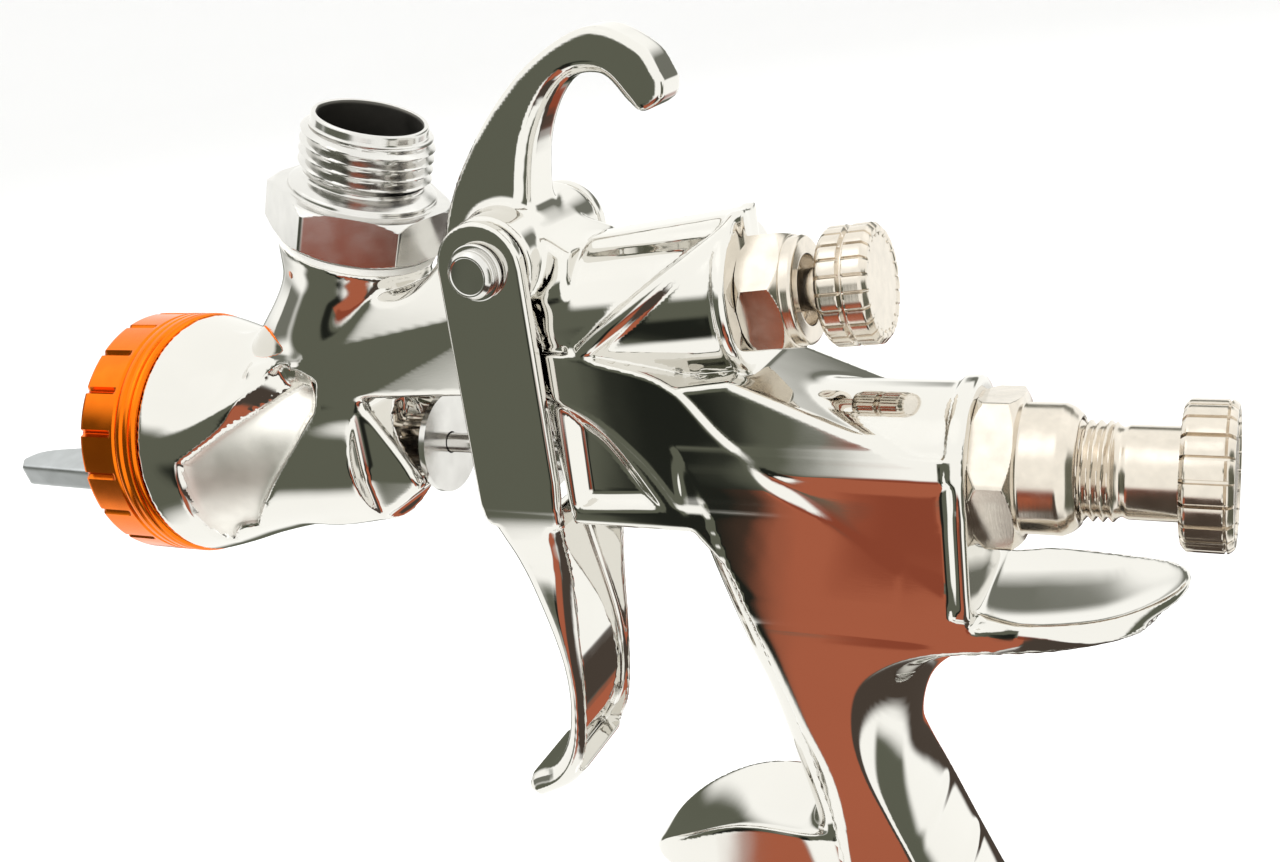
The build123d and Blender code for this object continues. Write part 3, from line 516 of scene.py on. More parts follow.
def gun_body(x, y, z):
    """The whole casting: head, neck, bridge, hook, barrels, grip and rests, less its bores."""
    over_leaf = np.maximum(shape(x, z, LEAF) - 0.5, 3.5 - y)
    neck = cut(cup_neck(x, y, z), over_leaf, 0.3)
    front = join(spray_head(x, y, z), neck, 1.0)
    front = join(front, bridge(x, y, z), 1.6)
    front = join(front, hanging_hook(x, y, z), 2.2)
    housing = slab(shape(x, z, HOUSING), y, HOUSING_HALF, 0.7)
    pocket = shape(x, z, POCKET)
    floor = y - HOUSING_HALF + np.clip(-pocket, -2, 1.5) * 0.9
    housing = meet(housing, np.where(pocket < 2, floor, -9), 0.3)
    rear = join(fan_barrel(x, y, z), rear_barrel(x, y, z), 2.0)
    rear = join(rear, housing, 0.8)
    ahead = shape(x, z, BEHIND_BEVEL)
    handle = np.maximum(ahead - 1.9, shape(x, z, UNDER_CREASE))
    handle = np.maximum(handle, y - 8.8 + np.clip(ahead, 0, 2.4) * 0.8)
    handle = np.maximum(handle, np.maximum(np.maximum(-3 - z, 56 - x), x - 104.9))
    scoop = shape(x, z, SCOOP)
    dish = 8.9 - 1.1 * (1 - np.exp(np.minimum(scoop, 0) * 0.55)) + np.maximum(scoop, 0)
    rear = meet(rear, np.where(scoop < 3, (y - dish) * 0.85, -9), 0.3)
    rear = join(rear, handle, 0.5)
    lower = join(grip(x, y, z), web_rest(x, y, z), 4.0)
    lower = join(lower, finger_rest(x, y, z), 4.0)
    rear = join(rear, lower, 0.8)
    body = join(front, rear, 1.2)
    rho = np.hypot(y, z)
    thread = slab(rho - HEAD_THREAD_R, np.abs(x + 2.35), 2.65, 0.2)
    body = np.minimum(body, thread)
    for start, end, radius in BORES:
        bore = slab(rho - radius, np.abs(x - (start + end) / 2), (end - start) / 2, 0.02)
        body = cut(body, bore, 0.15)
    cup_way = rod(x, y, z, SEAT + 1.0 * np.array(CUP_AXIS), -np.array(CUP_AXIS), 27, 4.5)
    fan_way = rod(x, y, z, np.array(FAN_END) + 1.0 * np.array(FAN_AXIS), -np.array(FAN_AXIS), 22, 4.6)
    for hole in (cup_way, fan_way, pin_hole(x, y, z, 2.48)):
        body = cut(body, hole, 0.15)
    inlet = rod(x, y, z, np.array(INLET_END) - 15 * np.array(INLET_AXIS), -np.array(INLET_AXIS), 11, 6.4)
    return cut(body, inlet, 0.15)


TRIGGER_EYE_R = 5.4
TRIGGER_HALF = [(-60, 7.4), (-44, 7.8), (-30, 8.0), (-17, 8.3), (-12, 9.0), (-8, 10.1), (-4, 10.9),
                (0, 11.0), (40, 11.0)]
TRIGGER_BEND = [(-60, 3.2), (-12, 3.0), (-6, 1.0), (-2, 0.35), (40, 0.35)]
TRIGGER_SIDE = outline([(PIVOT[0] - TRIGGER_EYE_R, PIVOT[2]), (47.6, 0)],
                       [(47.6, 0), (47.8, -5), (49.6, -14), (52.3, -27), (51.6, -36.5), (48.6, -42.6),
                        (44.4, -45.2)],
                       [(44.4, -45.2), (43.9, -46.9), (45.8, -48.4)],
                       [(45.8, -48.4), (51, -45.2), (54.4, -40), (56, -30.4), (56.8, -19), (57.7, -8),
                        (58.4, 0)],
                       [(58.4, 0), (PIVOT[0] + TRIGGER_EYE_R, PIVOT[2])],
                       [(PIVOT[0] + TRIGGER_EYE_R * math.cos(a), PIVOT[2] + TRIGGER_EYE_R * math.sin(a))
                        for a in np.linspace(0, np.pi, 13)])
TRIGGER_HOLLOW = outline([(40, 40), (40, -9.8)], [(40, -9.8), (50.1, -9.8)],
                         [(50.1, -9.8), (51.5, -14), (54.1, -27), (53.4, -36.5), (50.0, -43.0)],
                         [(50.0, -43.0), (70, -43.0)], [(70, -43.0), (70, 40)], [(70, 40), (40, 40)])
TRIGGER_PLATE = 1.5


def trigger(x, y, z):
    """Two side plates joined by a channel blade, with a stud on each side."""
    half = along(z, TRIGGER_HALF)
    outer = slab(shape(x, z, TRIGGER_SIDE), y, half, along(z, TRIGGER_BEND))
    inner = slab(shape(x, z, TRIGGER_HOLLOW), y, half - TRIGGER_PLATE, 0.9)
    shell = cut(outer, inner, 0.3)
    stud = rod(x, y, z, (49.4, 3.6, 0), (0, 1, 0), 6.2, 1.5, 0.25)
    shell = join(shell, stud, 0.4)
    return cut(shell, pin_hole(x, y, z, 2.5), 0.15)


# ---- finishes --------------------------------------------------------------------------
def finish(name, colour, metallic=1.0, roughness=0.2, spread=0.05, smudge=60.0, bumps=(), tint=0.06,
           turned=None):
    """A procedural metal: smudged roughness, slight colour drift and bump layers.

    bumps are (scale per metre, depth in metres, stretch) and turned is (start, axis, lines per
    metre, depth) for lathe marks round an axis.
    """
    mat = bpy.data.materials.new(name)
    mat.use_nodes = True
    nodes, links = mat.node_tree.nodes, mat.node_tree.links
    shader = nodes["Principled BSDF"]
    shader.inputs["Metallic"].default_value = metallic
    where = nodes.new("ShaderNodeTexCoord").outputs["Object"]

    def noise(scale, detail=3.0, vector=where):
        node = nodes.new("ShaderNodeTexNoise")
        node.inputs["Scale"].default_value = scale
        node.inputs["Detail"].default_value = detail
        links.new(vector, node.inputs["Vector"])
        return node.outputs["Fac"]

    def vector_math(operation, source, value=None):
        node = nodes.new("ShaderNodeVectorMath")
        node.operation = operation
        if value is not None:
            node.inputs[1].default_value = value
        links.new(source, node.inputs[0])
        return node.outputs

    ramp = nodes.new("ShaderNodeValToRGB")
    ramp.color_ramp.elements[0].color = (*[c * (1 - tint) for c in colour], 1)
    ramp.color_ramp.elements[1].color = (*[min(c * (1 + tint), 1) for c in colour], 1)
    ramp.color_ramp.elements[0].position, ramp.color_ramp.elements[1].position = 0.3, 0.7
    links.new(noise(smudge * 1.7), ramp.inputs["Fac"])
    links.new(ramp.outputs["Color"], shader.inputs["Base Color"])
    span = nodes.new("ShaderNodeMapRange")
    span.inputs["From Min"].default_value, span.inputs["From Max"].default_value = 0.3, 0.7
    span.inputs["To Min"].default_value = max(roughness - spread, 0.0)
    span.inputs["To Max"].default_value = roughness + spread
    links.new(noise(smudge, 5.0), span.inputs["Value"])
    links.new(span.outputs["Result"], shader.inputs["Roughness"])
    previous = None

    def bump(height, depth):
        nonlocal previous
        node = nodes.new("ShaderNodeBump")
        node.inputs["Distance"].default_value = depth
        links.new(height, node.inputs["Height"])
        if previous:
            links.new(previous, node.inputs["Normal"])
        previous = node.outputs["Normal"]

    for scale, depth, stretch in bumps:
        shift = nodes.new("ShaderNodeMapping")
        shift.inputs["Scale"].default_value = stretch
        links.new(where, shift.inputs["Vector"])
        bump(noise(scale, 2.0, shift.outputs["Vector"]), depth)
    if turned:
        start, axis, lines, depth = turned
        start = Vector(np.array(start) * MM + DATUM)
        offset = vector_math("SUBTRACT", where, start)["Vector"]
        distance = vector_math("DOT_PRODUCT", offset, axis)["Value"]
        radius = vector_math("LENGTH", vector_math("CROSS_PRODUCT", offset, axis)["Vector"])["Value"]
        pair = nodes.new("ShaderNodeCombineXYZ")
        links.new(distance, pair.inputs["X"])
        links.new(radius, pair.inputs["Y"])
        bump(noise(lines, 4.0, pair.outputs["Vector"]), depth)
    if previous:
        links.new(previous, shader.inputs["Normal"])
    return mat


def chrome(name):
    """Polished chrome, with a faint waviness."""
    return finish(name, (0.80, 0.785, 0.75), roughness=0.045, spread=0.03, smudge=45.0, tint=0.015,
                  bumps=((90.0, 0.00004, (1, 1, 1)), (5200.0, 0.0000006, (0.2, 1, 1))))


def nickel(name, turned=None):
    """Grained warm nickel plate."""
    return finish(name, (0.76, 0.70, 0.62), roughness=0.17, spread=0.05, smudge=400.0, tint=0.05,
                  bumps=((9000.0, 0.0000016, (1, 1, 1)),), turned=turned)


def steel(name, turned=None, rough=0.16):
    """Bright turned steel."""
    return finish(name, (0.74, 0.73, 0.71), roughness=rough, spread=0.05, smudge=250.0, tint=0.03,
                  bumps=((7000.0, 0.0000008, (1, 1, 1)),), turned=turned)


def satin(name, colour, rough=0.38):
    """A fine blasted surface."""
    return finish(name, colour, roughness=rough, spread=0.05, smudge=300.0, tint=0.03,
                  bumps=((4000.0, 0.000002, (1, 1, 1)),))


def dress(obj, mat):
    """Gives an object one material."""
    obj.data.materials.clear()
    obj.data.materials.append(mat)


def piece(obj, body, slot, mat, *nodes):
    """Gives a modelled piece its body and finish, and hides the CAD nodes it stands for."""
    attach(obj, body)
    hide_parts(*nodes)
    dress(obj, mat)


# ---- build the pieces ------------------------------------------------------------------
body = carve("body_casting", gun_body, (-6, 0, -103), (129, 17.2, 50.5), 0.4)
piece(body, "gun", "chrome", chrome("chrome_body"), "gun_body")


def leaf_panel(x, y, z):
    """A thin satin skin on the floor of the leaf-shaped hollow."""
    flat = shape(x, z, LEAF)
    over = np.hypot(y, z) - leaf_floor(x, flat)
    return meet(flat + 0.3, np.maximum(over - 0.18, -0.8 - over), 0.08)


leaf = carve("leaf_panel", leaf_panel, (4, 0, -13.4), (24.4, 15.6, 10.6), 0.2)
piece(leaf, "gun", "chrome", satin("satin_leaf", (0.95, 0.93, 0.88), 0.5), "gun_body")

lever = carve("trigger_lever", trigger, (42.5, 0, -50), (60.5, 11.8, 32), 0.28)
piece(lever, "trigger", "chrome", chrome("chrome_trigger"), "trigger")


CUP_PITCH = 1.3
CUP_FLATS = 20.0
CUP_BORE_R = 6.2


def cup_relief(theta, s, r):
    """Thread on the neck, hexagon below it."""
    threaded = (s > 9.1) & (s < CUP_LENGTH - 1.3) & (r > 7.3)
    r = np.where(threaded, r - 0.85 * (1 - helix_wave(theta, s, CUP_PITCH)), r)
    on_hex = (s > 1.0) & (s < 7.2) & (r > 8.0)
    hexagon = polygon_limit(theta, CUP_FLATS, turn=math.radians(26))
    return np.where(on_hex, np.minimum(r, hexagon), r)


cup_outer = [(0.8, 4.5), (0.8, 9.2), (1.2, 9.4), (1.2, 10.2), (2.0, 11.55), (6.2, 11.55), (6.9, 10.5),
             (7.0, 9.0), (7.6, 8.9), (8.1, 8.0), (8.5, 7.2), (9.0, 7.15), (9.3, 8.0),
             (CUP_LENGTH - 1.6, 8.0), (CUP_LENGTH - 1.2, 7.0), (CUP_LENGTH - 0.2, 6.95), (CUP_LENGTH, 6.8),
             (CUP_LENGTH, 6.4), (CUP_LENGTH - 0.3, CUP_BORE_R), (CUP_LENGTH - 8, CUP_BORE_R),
             (CUP_LENGTH - 8, 4.5), (0.8, 4.5)]
cup = lathe("cup_fitting", SEAT, CUP_AXIS, soften(cup_outer, 0.15), cup_relief, sides=240, step=0.12)
piece(cup, "gun", "stainless",
      steel("steel_cup", (SEAT, CUP_AXIS, 9000.0, 0.0000025)), "cup_adapter")
middle = np.array([p.center for p in cup.data.polygons]) - SEAT * MM - DATUM
inward = np.linalg.norm(np.cross(middle, CUP_AXIS), axis=1) < 6.35 * MM
cup.data.materials.append(satin("bore_shadow", (0.10, 0.095, 0.085), 0.45))
cup.data.polygons.foreach_set("material_index", inward.astype(np.int32))

RING_NOTCHES = 18


def ring_relief(theta, s, r):
    """Notches at the front and three fine grooves at the rear of the ring's outside."""
    outside = r > 15.0
    phase = (theta * RING_NOTCHES / (2 * np.pi)) % 1.0
    notch = np.clip(1.6 - np.abs(phase - 0.5) * 22, 0, 1) * np.clip((-4.2 - s) / 0.5, 0, 1)
    grooves = sum(np.clip(1.3 - np.abs(s - g) / 0.22, 0, 1) for g in (-3.4, -2.2, -1.0))
    return np.where(outside, r - 0.55 * notch - 0.38 * grooves, r)


ring_profile = [(0, 14.5), (0, 16.1), (-0.4, 16.5), (-9.2, 16.5), (-10.4, 15.1), (-10.4, 12.95),
                (-8.5, 12.95), (-8.5, 14.8), (-5.2, 14.8), (-5.2, 14.45), (0, 14.5)]
ring = lathe("cap_ring_shell", (0, 0, 0), SPRAY, soften(ring_profile, 0.25), ring_relief,
             sides=432, step=0.16)
orange = finish("orange_anodised", (1.0, 0.20, 0.008), roughness=0.2, spread=0.04, smudge=300.0,
                tint=0.05, bumps=((6000.0, 0.0000008, (1, 1, 1)),),
                turned=((0, 0, 0), SPRAY, 6000.0, 0.000002))
piece(ring, "cap_ring", "orange_anodised", orange, "cap_ring")

CAP_TURN = math.radians(14.0)


HORN = outline([(-9.5, 7.8), (-13.5, 7.0)],
               [(-13.5, 7.0), (-17.5, 6.9), (-25, 8.2), (-27.6, 10.4)],
               [(-27.6, 10.4), (-26.2, 12.2)], [(-26.2, 12.2), (-9.5, 12.6)])
FACE_JETS_R = 6.6


def air_cap(x, y, z):
    """The cap's face and flange, with two horns and its air jets."""
    rho = np.hypot(y, z)
    rim = slab(rho - 12.6, np.abs(x + 9.1), 2.2, 0.3)
    slope = (rho - np.minimum(12.6, 12.2 + (x + 11.4) * 2.6)) * 0.36
    cone = meet(slope, np.maximum(x + 9, -14.4 - x), 0.3)
    flange = slab(rho - 14.1, np.abs(x + 7.35), 0.85, 0.1)
    face = np.minimum(join(rim, cone, 0.6), flange)
    face = cut(face, (rho - 9.8 + (-10 - x) * 1.95) * 0.45, 0.2)
    face = cut(face, slab(rho - 12.0, np.abs(x + 6.5), 2.0, 0.1), 0.2)
    face = join(face, slab(rho - 3.4, np.abs(x + 13.9), 1.0, 0.3), 0.5)
    face = join(face, slab(shape(x, y, HORN), np.abs(z), 1.7, 0.5), 0.8)
    jets = [rod(x, y, z, (-30, 5.2, 0), (1, 0, 0), 20, 0.5)]
    for reach, lean in ((-24.2, 0.55), (-21.2, 0.85)):
        direction = np.array((lean, -1.0, 0)) / math.hypot(lean, 1.0) * -1
        jets.append(rod(x, y, z, (reach, 5.0, 0), direction, 6.0, 0.7))
    for a in (0.45, 1.1):
        across, up = FACE_JETS_R * math.cos(a), FACE_JETS_R * math.sin(a)
        jets.append(rod(x, y, z, (-30, across, up), (1, 0, 0), 20, 0.4))
        jets.append(rod(x, y, z, (-30, across, -up), (1, 0, 0), 20, 0.4))
    jets.append(rod(x, y, z, (-30, 0, 0), (1, 0, 0), 20, 1.75))
    for jet in jets:
        face = cut(face, jet, 0.12)
    return face


cap = carve("air_cap_body", air_cap, (-28.2, 0, -14.6), (-6, 14.6, 14.6), 0.25)
turn = Matrix.Rotation(CAP_TURN, 4, "X")
centre = Matrix.Translation(Vector(DATUM))
cap.data.transform(centre @ turn @ centre.inverted())
piece(cap, "air_cap", "cap_nickel",
      finish("nickel_cap", (0.46, 0.48, 0.49), roughness=0.36, spread=0.06, smudge=300.0, tint=0.06,
             bumps=((8000.0, 0.000002, (1, 1, 1)),)), "air_cap")

# fluid control
HOUSING_FLATS = 15.8
HOUSING_PROFILE = [(95, 3.9), (95, 6.7), (96.4, 6.7), (96.4, 5.7), (97.8, 5.7), (97.8, 6.77),
                   (105.0, 6.77), (105.02, 8.0), (105.05, 8.3), (106.1, 9.15), (108.7, 9.15),
                   (109.4, 8.0), (109.6, 7.0), (110.2, 7.0), (113.6, 7.0), (114.5, 6.6),
                   (115.3, 5.9), (115.3, 5.4), (99.5, 5.4), (99.5, 3.9), (95, 3.9)]


def housing_relief(theta, s, r):
    """Hexagon at the front of the housing."""
    on_hex = (s > 105.04) & (s < 109.5) & (r > 7.2)
    hexagon = polygon_limit(theta, HOUSING_FLATS, turn=math.radians(22))
    return np.where(on_hex, np.minimum(r, hexagon), r)


housing = lathe("fluid_control_housing", (0, 0, 0), SPRAY, soften(HOUSING_PROFILE, 0.2), housing_relief,
                sides=240, step=0.15)
piece(housing, "gun", "satin_nickel",
      nickel("nickel_housing", ((0, 0, 0), SPRAY, 5000.0, 0.0000035)), "fluid_housing")

KNOB_LOBES = 20
KNOB_PITCH = 1.0


def knob_relief(theta, s, r):
    """Thread at the front, convex lobes with narrow grooves on the knob."""
    thread = (s > 108) & (s < 118.6) & (r > 4.6) & (r < 6)
    r = np.where(thread, r - 0.5 * (1 - helix_wave(theta, s, KNOB_PITCH)), r)
    on_knob = (s > 125.25) & (r > 6.0)
    phase = (theta * KNOB_LOBES / (2 * np.pi)) % 1.0 - 0.5
    lobe = np.maximum(0.16 * (2 * phase) ** 2, 0.62 * np.clip((np.abs(phase) - 0.40) / 0.05, 0, 1))
    band = np.clip(1.25 - np.abs(s - 129.45) / 0.12, 0, 1)
    return np.where(on_knob, r - np.maximum(lobe, 0.3 * band) * np.clip((r - 6.0) / 1.2, 0, 1), r)


knob_profile = [(107, 3.95), (107, 5.0), (107.4, 5.3), (118.6, 5.3), (118.9, 4.9), (119.4, 4.6),
                (120.0, 4.9), (125.2, 4.9), (125.2, 7.2), (125.7, 7.8), (129.7, 7.8), (130.3, 7.3),
                (130.3, 6.4), (130.1, 6.2), (130.1, 0)]
knob_inner = [(107, 3.95), (122, 3.95), (122, 0)]
knob = lathe("fluid_control_knob", (0, 0, 0), SPRAY,
             np.vstack([soften(knob_inner[::-1], 0.1)[:-1], soften(knob_profile, 0.18)]), knob_relief,
             sides=400, step=0.1)
piece(knob, "fluid_control", "satin_nickel",
      nickel("nickel_fluid_knob", ((0, 0, 0), SPRAY, 5000.0, 0.000004)), "fluid_knob")


# fan control
FAN_FLATS = 12.3


def fan_hex(theta, s, r):
    """Hexagon on the upper control's fitting."""
    on_hex = (s > 0.05) & (s < 4.95) & (r > 5.5)
    return np.where(on_hex, np.minimum(r, polygon_limit(theta, FAN_FLATS, turn=math.radians(12))), r)


fan_profile = [(-8.95, 2.35), (-8.95, 4.3), (-8.8, 4.57), (-6.6, 4.57), (-6.6, 3.6), (-5.2, 3.6),
               (-5.2, 4.57), (0.05, 4.57), (0.1, 6.3), (1.0, 7.1), (4.2, 7.1), (4.95, 6.2), (5.0, 6.0),
               (6.1, 6.0), (6.4, 5.7), (6.4, 3.9), (4.6, 3.9), (4.6, 2.35), (-8.95, 2.35)]
fan_valve = lathe("fan_valve_shell", FAN_END, FAN_AXIS, soften(fan_profile, 0.18), fan_hex, sides=240,
                  step=0.14)
piece(fan_valve, "gun", "satin_nickel",
      nickel("nickel_fan_valve", (FAN_END, FAN_AXIS, 5000.0, 0.000003)), "fan_valve_body")

FAN_FLUTES = 22


def fan_knob_relief(theta, s, r):
    """Convex lobes with narrow grooves, and a band round the middle."""
    on_knob = (s > 8.85) & (r > 4.6)
    phase = (theta * FAN_FLUTES / (2 * np.pi)) % 1.0 - 0.5
    lobe = np.maximum(0.1 * (2 * phase) ** 2, 0.5 * np.clip((np.abs(phase) - 0.40) / 0.05, 0, 1))
    band = np.clip(1.25 - np.abs(s - 11.7) / 0.3, 0, 1)
    return np.where(on_knob, r - np.maximum(lobe, 0.6 * band) * np.clip((r - 4.6) / 1.2, 0, 1), r)


fan_knob_profile = [(-11.6, 0), (-11.6, 2.3), (8.8, 2.3), (8.8, 5.9), (9.4, 6.5), (14.0, 6.5),
                    (14.6, 5.9), (14.6, 5.4), (14.45, 5.2), (14.45, 0)]
fan_knob = lathe("fan_control_knob", FAN_END, FAN_AXIS, soften(fan_knob_profile, 0.18), fan_knob_relief,
                 sides=396, step=0.1)
piece(fan_knob, "fan_control", "satin_nickel",
      nickel("nickel_fan_knob", (FAN_END, FAN_AXIS, 5000.0, 0.000004)), "fan_knob")


# pin and packing nut
PIN_AXIS = (0, -1, 0)
pin_profile = [(-13.2, 0), (-13.2, 2.2), (-12.9, 2.45), (11.3, 2.45), (11.3, 3.1), (11.45, 3.25),
               (11.8, 3.25), (11.9, 3.1), (11.9, 2.6), (11.95, 2.75), (12.35, 2.75), (12.4, 2.65),
               (12.5, 2.65), (12.55, 2.75), (12.9, 2.75), (13.4, 2.3), (13.4, 2.15), (13.32, 2.05),
               (13.32, 0)]
pin = lathe("trigger_pin_turned", PIVOT, PIN_AXIS, soften(pin_profile, 0.08))
piece(pin, "gun", "stainless",
      steel("steel_pin", (PIVOT, PIN_AXIS, 6000.0, 0.000002), 0.12), "trigger_pin")
NUT_GROOVES = 18


def nut_relief(theta, s, r):
    """Grooves of the knurl behind the nut's plain collar."""
    phase = (theta * NUT_GROOVES / (2 * np.pi)) % 1.0 - 0.5
    groove = 0.4 * np.clip((np.abs(phase) - 0.33) / 0.08, 0, 1) * np.clip((s - 32.3) / 0.2, 0, 1)
    return np.where(r > 3.3, r - groove, r)


nut_profile = [(27.6, 1.4), (27.6, 3.0), (29.5, 3.0), (29.5, 3.2), (32, 3.2), (32.1, 3.6), (36.5, 3.6),
               (36.8, 3.3), (36.8, 1.4), (27.6, 1.4)]
nut = lathe("packing_nut_knurled", (0, 0, 0), SPRAY, soften(nut_profile, 0.1), nut_relief, sides=288,
            step=0.15)
piece(nut, "gun", "satin_nickel",
      nickel("nickel_nut", ((0, 0, 0), SPRAY, 6000.0, 0.000002)), "packing_nut")


# air inlet
INLET_PITCH = 1.337
INLET_FLATS = 17.0


def inlet_relief(theta, s, r):
    """Thread at the open end, hexagon above it."""
    depth = 0.8 * (1 - helix_wave(theta, s, INLET_PITCH))
    fade = np.clip((s - 0.6) / 0.6, 0, 1) * np.clip((10.2 - s) / 0.6, 0, 1)
    r = np.where((s > 0.5) & (s < 10.3) & (r > 6.0), r - depth * fade, r)
    on_hex = (s > 10.85) & (s < 15.15) & (r > 7.2)
    return np.where(on_hex, np.minimum(r, polygon_limit(theta, INLET_FLATS)), r)


inlet_profile = [(0, 4.0), (0, 5.7), (0.8, 6.58), (10.5, 6.58), (10.85, 6.4), (10.9, 8.6), (11.8, 9.8),
                 (14.3, 9.8), (15.1, 8.8), (15.2, 8.3), (15.2, 6.35), (24.8, 6.35), (25, 6.1),
                 (25, 4.0), (0, 4.0)]
inlet = lathe("air_inlet_fitting", INLET_END, tuple(-c for c in INLET_AXIS), soften(inlet_profile, 0.15),
              inlet_relief, sides=240, step=0.12)
piece(inlet, "gun", "satin_nickel",
      nickel("nickel_inlet", (INLET_END, INLET_AXIS, 5000.0, 0.000003)), "air_inlet")

# nodes whose CAD shape stays
brass = finish("turned_brass", (0.78, 0.56, 0.25), roughness=0.2, bumps=((6000.0, 0.000001, (1, 1, 1)),),
               turned=((0, 0, 0), SPRAY, 5000.0, 0.000002))
ptfe = finish("white_ptfe", (0.86, 0.85, 0.80), metallic=0.0, roughness=0.45, tint=0.03,
              bumps=((3000.0, 0.000002, (1, 1, 1)),))
nitrile = finish("black_nitrile", (0.02, 0.02, 0.02), metallic=0.0, roughness=0.5, tint=0.1,
                 bumps=((3000.0, 0.000004, (1, 1, 1)),))
music_wire = finish("spring_wire", (0.50, 0.50, 0.49), roughness=0.25,
                    bumps=((4000.0, 0.000001, (1, 1, 1)),))
turned_steel = steel("steel_turned", ((0, 0, 0), SPRAY, 6000.0, 0.000002))
KEPT = {
    brass: ("air_baffle",),
    ptfe: ("nozzle_gasket", "cup_gasket", "needle_packing", "air_valve_seat", "inlet_gasket"),
    nitrile: ("housing_o_ring", "fan_o_ring"),
    music_wire: ("air_valve_spring", "needle_spring"),
    turned_steel: ("needle", "needle_collar", "fluid_nozzle", "air_valve_spindle", "splash_disc",
                   "spring_seat", "pin_clip", "fan_knob_screw", "cap_clip", "fan_plunger",
                   "air_valve_bush"),
}
for mat, names in KEPT.items():
    for node in names:
        dress(frame["nodes"][node], mat)

# ---- floor, light and camera -----------------------------------------------------------
FLOOR = CAD_BOX[0].z - 0.0005


def mesh_piece(name, verts, faces):
    """A smooth stage object, from vertices in metres."""
    mesh = bpy.data.meshes.new(name)
    mesh.from_pydata([tuple(v) for v in verts], [], faces)
    for polygon in mesh.polygons:
        polygon.use_smooth = True
    obj = bpy.data.objects.new(name, mesh)
    bpy.context.scene.collection.objects.link(obj)
    return obj


def backdrop():
    """A pale floor that rises all round into a white wall."""
    rows, cols, verts = 24, 96, [(0, 0, FLOOR)]
    for i in range(1, rows + 1):
        t = i / rows
        radius = 1.5 * min(t * 2, 1) + 1.2 * math.sin(max(t - 0.5, 0) * math.pi)
        height = FLOOR + 1.6 * (1 - math.cos(max(t - 0.5, 0) * math.pi))
        for j in range(cols):
            a = 2 * math.pi * j / cols
            verts.append((radius * math.cos(a), radius * math.sin(a), height))
    faces = [(0, 1 + j, 1 + (j + 1) % cols) for j in range(cols)]
    for i in range(rows - 1):
        a, b = 1 + i * cols, 1 + (i + 1) * cols
        faces += [(a + j, b + j, b + (j + 1) % cols, a + (j + 1) % cols) for j in range(cols)]
    floor = mesh_piece("floor", verts, faces)
    mat = bpy.data.materials.new("pale_floor")
    mat.use_nodes = True
    shader = mat.node_tree.nodes["Principled BSDF"]
    shader.inputs["Base Color"].default_value = (0.9, 0.9, 0.9, 1)
    shader.inputs["Roughness"].default_value = 0.6
    floor.data.materials.append(mat)


def smooth(value, low, high):
    """0 below low, 1 above high, with an easy slope between."""
    t = min(max((value - low) / (high - low), 0.0), 1.0)
    return t * t * (3 - 2 * t)


BLACK = np.array((0.016, 0.018, 0.014))
OLIVE = np.array((0.125, 0.132, 0.098))
BROWN = np.array((0.46, 0.130, 0.068))
RUST = np.array((0.30, 0.070, 0.036))
BRIGHT = np.array((1.15, 1.15, 1.11))
GREY = np.array((0.19, 0.195, 0.165))
SHADE = np.array((0.075, 0.058, 0.046))


def surroundings(x, y, height):
    """What polished faces reflect, from a spot on the tent around the gun, in millimetres.

    Shades run by angle, in degrees from square to the gun towards the nozzle.
    """
    radius, angle = math.hypot(x, y), math.degrees(math.atan2(-x, abs(y)))
    colour = BRIGHT
    high = smooth(height, 60, 110) if y < 0 else smooth(height, -30, 30)
    near, wide = smooth(radius, 50, 72) * (1 - high), smooth(radius, 118, 165) * (1 - high)
    for shade, start, end, soft, amount in (
        (OLIVE, 12, 66, 8, wide),
        (GREY, 68, 130, 8, wide * smooth(height, -40, 0)),
        (OLIVE, -14, 20, 6, near * (1 - smooth(height, -92, -86))),
        (BROWN, -10, 20, 6, near * (1 - smooth(height, -110, -103))),
        (RUST, -12, 12.5, 3, near * smooth(radius, 195, 215) * (1 - smooth(height, -90, -40))),
        (BLACK, 19, 29, 4, wide * (1 - smooth(height, -50, -10))),
        (OLIVE, -100, -62, 10, wide),
    ):
        within = smooth(angle, start - soft / 2, start + soft / 2)
        within *= 1 - smooth(angle, end - soft / 2, end + soft / 2)
        colour = colour + (shade - colour) * within * amount
    behind = smooth(x, 10, 24) * (1 - smooth(x, 80, 105)) * (1 - smooth(height, -95, -60))
    colour = colour + (SHADE - colour) * behind
    if y > 0:
        over = smooth(angle, -45, -30) * (1 - smooth(angle, 2, 14)) * smooth(height, 40, 70)
        colour = colour + (GREY - colour) * over * (1 - smooth(height, 118, 142))
    return colour


TENT_CENTRE = 70
TENT_PANELS = 180


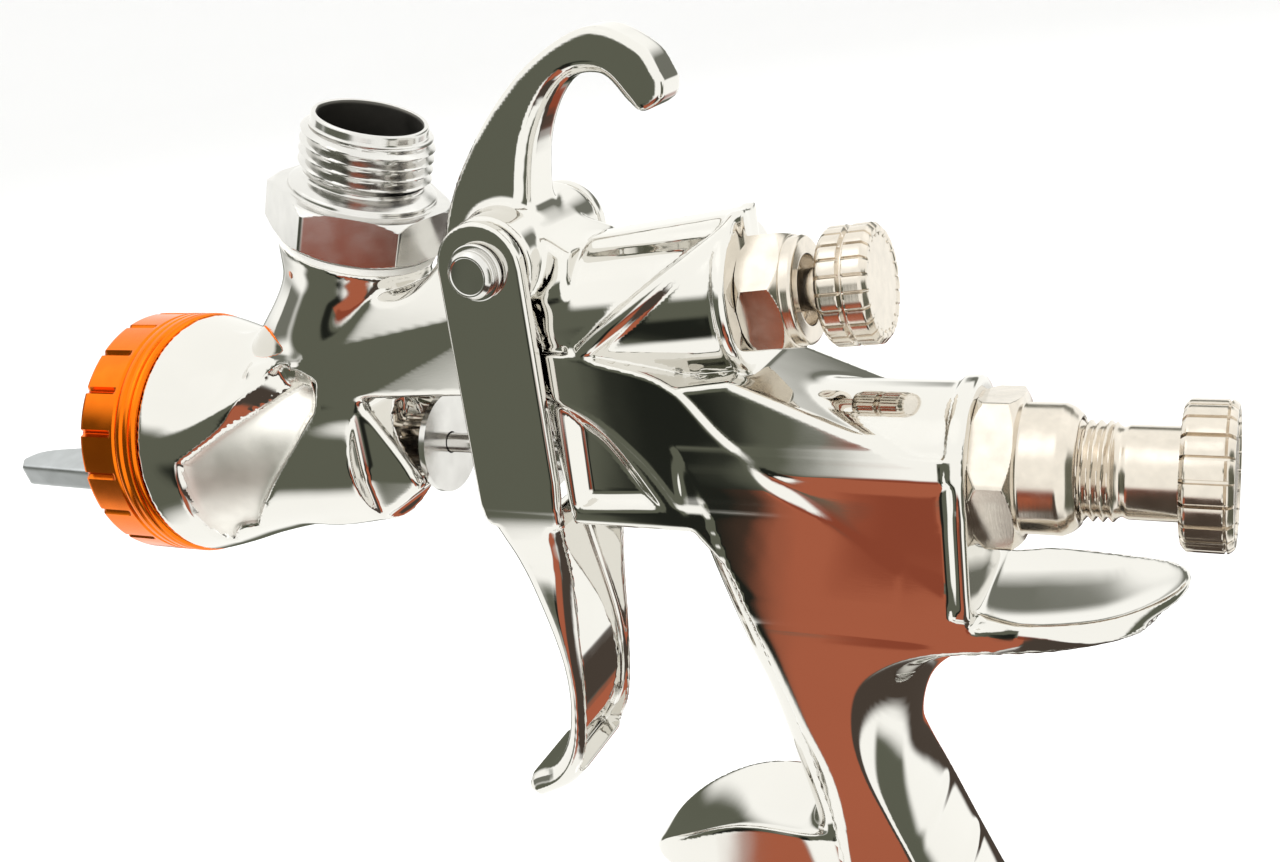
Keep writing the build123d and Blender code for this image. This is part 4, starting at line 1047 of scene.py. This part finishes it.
def reflection_tent():
    """Shaded panels round the gun, seen only in reflections."""
    path = [(r, -111) for r in range(10, 241, 10)] + [(240, h) for h in range(-105, 121, 8)]
    path += [(220, 150), (150, 190), (60, 215), (1, 220)]
    cols = TENT_PANELS
    verts, colours = [], []
    for radius, height in path:
        for j in range(cols):
            a = 2 * math.pi * j / cols
            x, y = radius * math.cos(a), radius * math.sin(a)
            verts.append(((x + TENT_CENTRE) * MM + DATUM[0], y * MM, height * MM + DATUM[2]))
            colours.append(surroundings(x, y, height))
    faces = []
    for i in range(len(path) - 1):
        a, b = i * cols, (i + 1) * cols
        faces += [(a + j, a + (j + 1) % cols, b + (j + 1) % cols, b + j) for j in range(cols)]
    tent = mesh_piece("reflection_tent", verts, faces)
    shades = tent.data.color_attributes.new("shade", "FLOAT_COLOR", "POINT")
    rgba = np.hstack([colours, np.ones((len(colours), 1))]).astype(np.float32)
    shades.data.foreach_set("color", rgba.ravel())
    mat = bpy.data.materials.new("tent")
    mat.use_nodes = True
    nodes, links = mat.node_tree.nodes, mat.node_tree.links
    nodes.clear()
    shade = nodes.new("ShaderNodeAttribute")
    shade.attribute_name = "shade"
    glow = nodes.new("ShaderNodeEmission")
    links.new(shade.outputs["Color"], glow.inputs["Color"])
    links.new(glow.outputs["Emission"], nodes.new("ShaderNodeOutputMaterial").inputs["Surface"])
    tent.data.materials.append(mat)
    for kind in ("camera", "diffuse", "shadow", "transmission", "volume_scatter"):
        setattr(tent, f"visible_{kind}", False)


backdrop()
reflection_tent()


def area_light(name, place, aim, size, power):
    """A rectangular light at place, turned towards aim."""
    light = bpy.data.lights.new(name, "AREA")
    light.shape = "RECTANGLE"
    light.size, light.size_y = size
    light.energy = power
    obj = bpy.data.objects.new(name, light)
    obj.location = place
    obj.rotation_euler = (Vector(aim) - Vector(place)).to_track_quat("-Z", "Y").to_euler()
    bpy.context.scene.collection.objects.link(obj)


CENTRE = Vector(DATUM) + Vector((50, 0, -10)) * MM
area_light("key", CENTRE + Vector((-0.3, -0.35, 0.9)), CENTRE, (0.7, 0.5), 6.0)
area_light("rear", CENTRE + Vector((0.5, 0.6, 0.7)), CENTRE, (0.6, 0.6), 4.0)

world = bpy.data.worlds.new("studio")
bpy.context.scene.world = world
world.use_nodes = True
world.node_tree.nodes["Background"].inputs["Color"].default_value = (1.0, 1.0, 0.985, 1)
world.node_tree.nodes["Background"].inputs["Strength"].default_value = 1.05
bpy.context.scene.view_settings.view_transform = "Standard"

VIEW_TURN, VIEW_RISE, VIEW_ROLL = math.radians(27.06), math.radians(20.23), math.radians(7.85)
CAMERA_AT = Vector((136.77, -141.31, 60.98)) * MM + Vector(DATUM)
back = Vector((math.sin(VIEW_TURN) * math.cos(VIEW_RISE), -math.cos(VIEW_TURN) * math.cos(VIEW_RISE),
               math.sin(VIEW_RISE)))
level = Vector((math.cos(VIEW_TURN), math.sin(VIEW_TURN), 0))
upright = back.cross(level)
right = math.cos(VIEW_ROLL) * level - math.sin(VIEW_ROLL) * upright
above = math.sin(VIEW_ROLL) * level + math.cos(VIEW_ROLL) * upright
camera = bpy.data.objects.new("camera", bpy.data.cameras.new("camera"))
camera.data.lens = 40.0
camera.data.sensor_width = 36.0
camera.data.clip_start = 0.005
pose = Matrix((right, above, back)).transposed().to_4x4()
pose.translation = CAMERA_AT
camera.matrix_world = pose
bpy.context.scene.collection.objects.link(camera)
bpy.context.scene.camera = camera
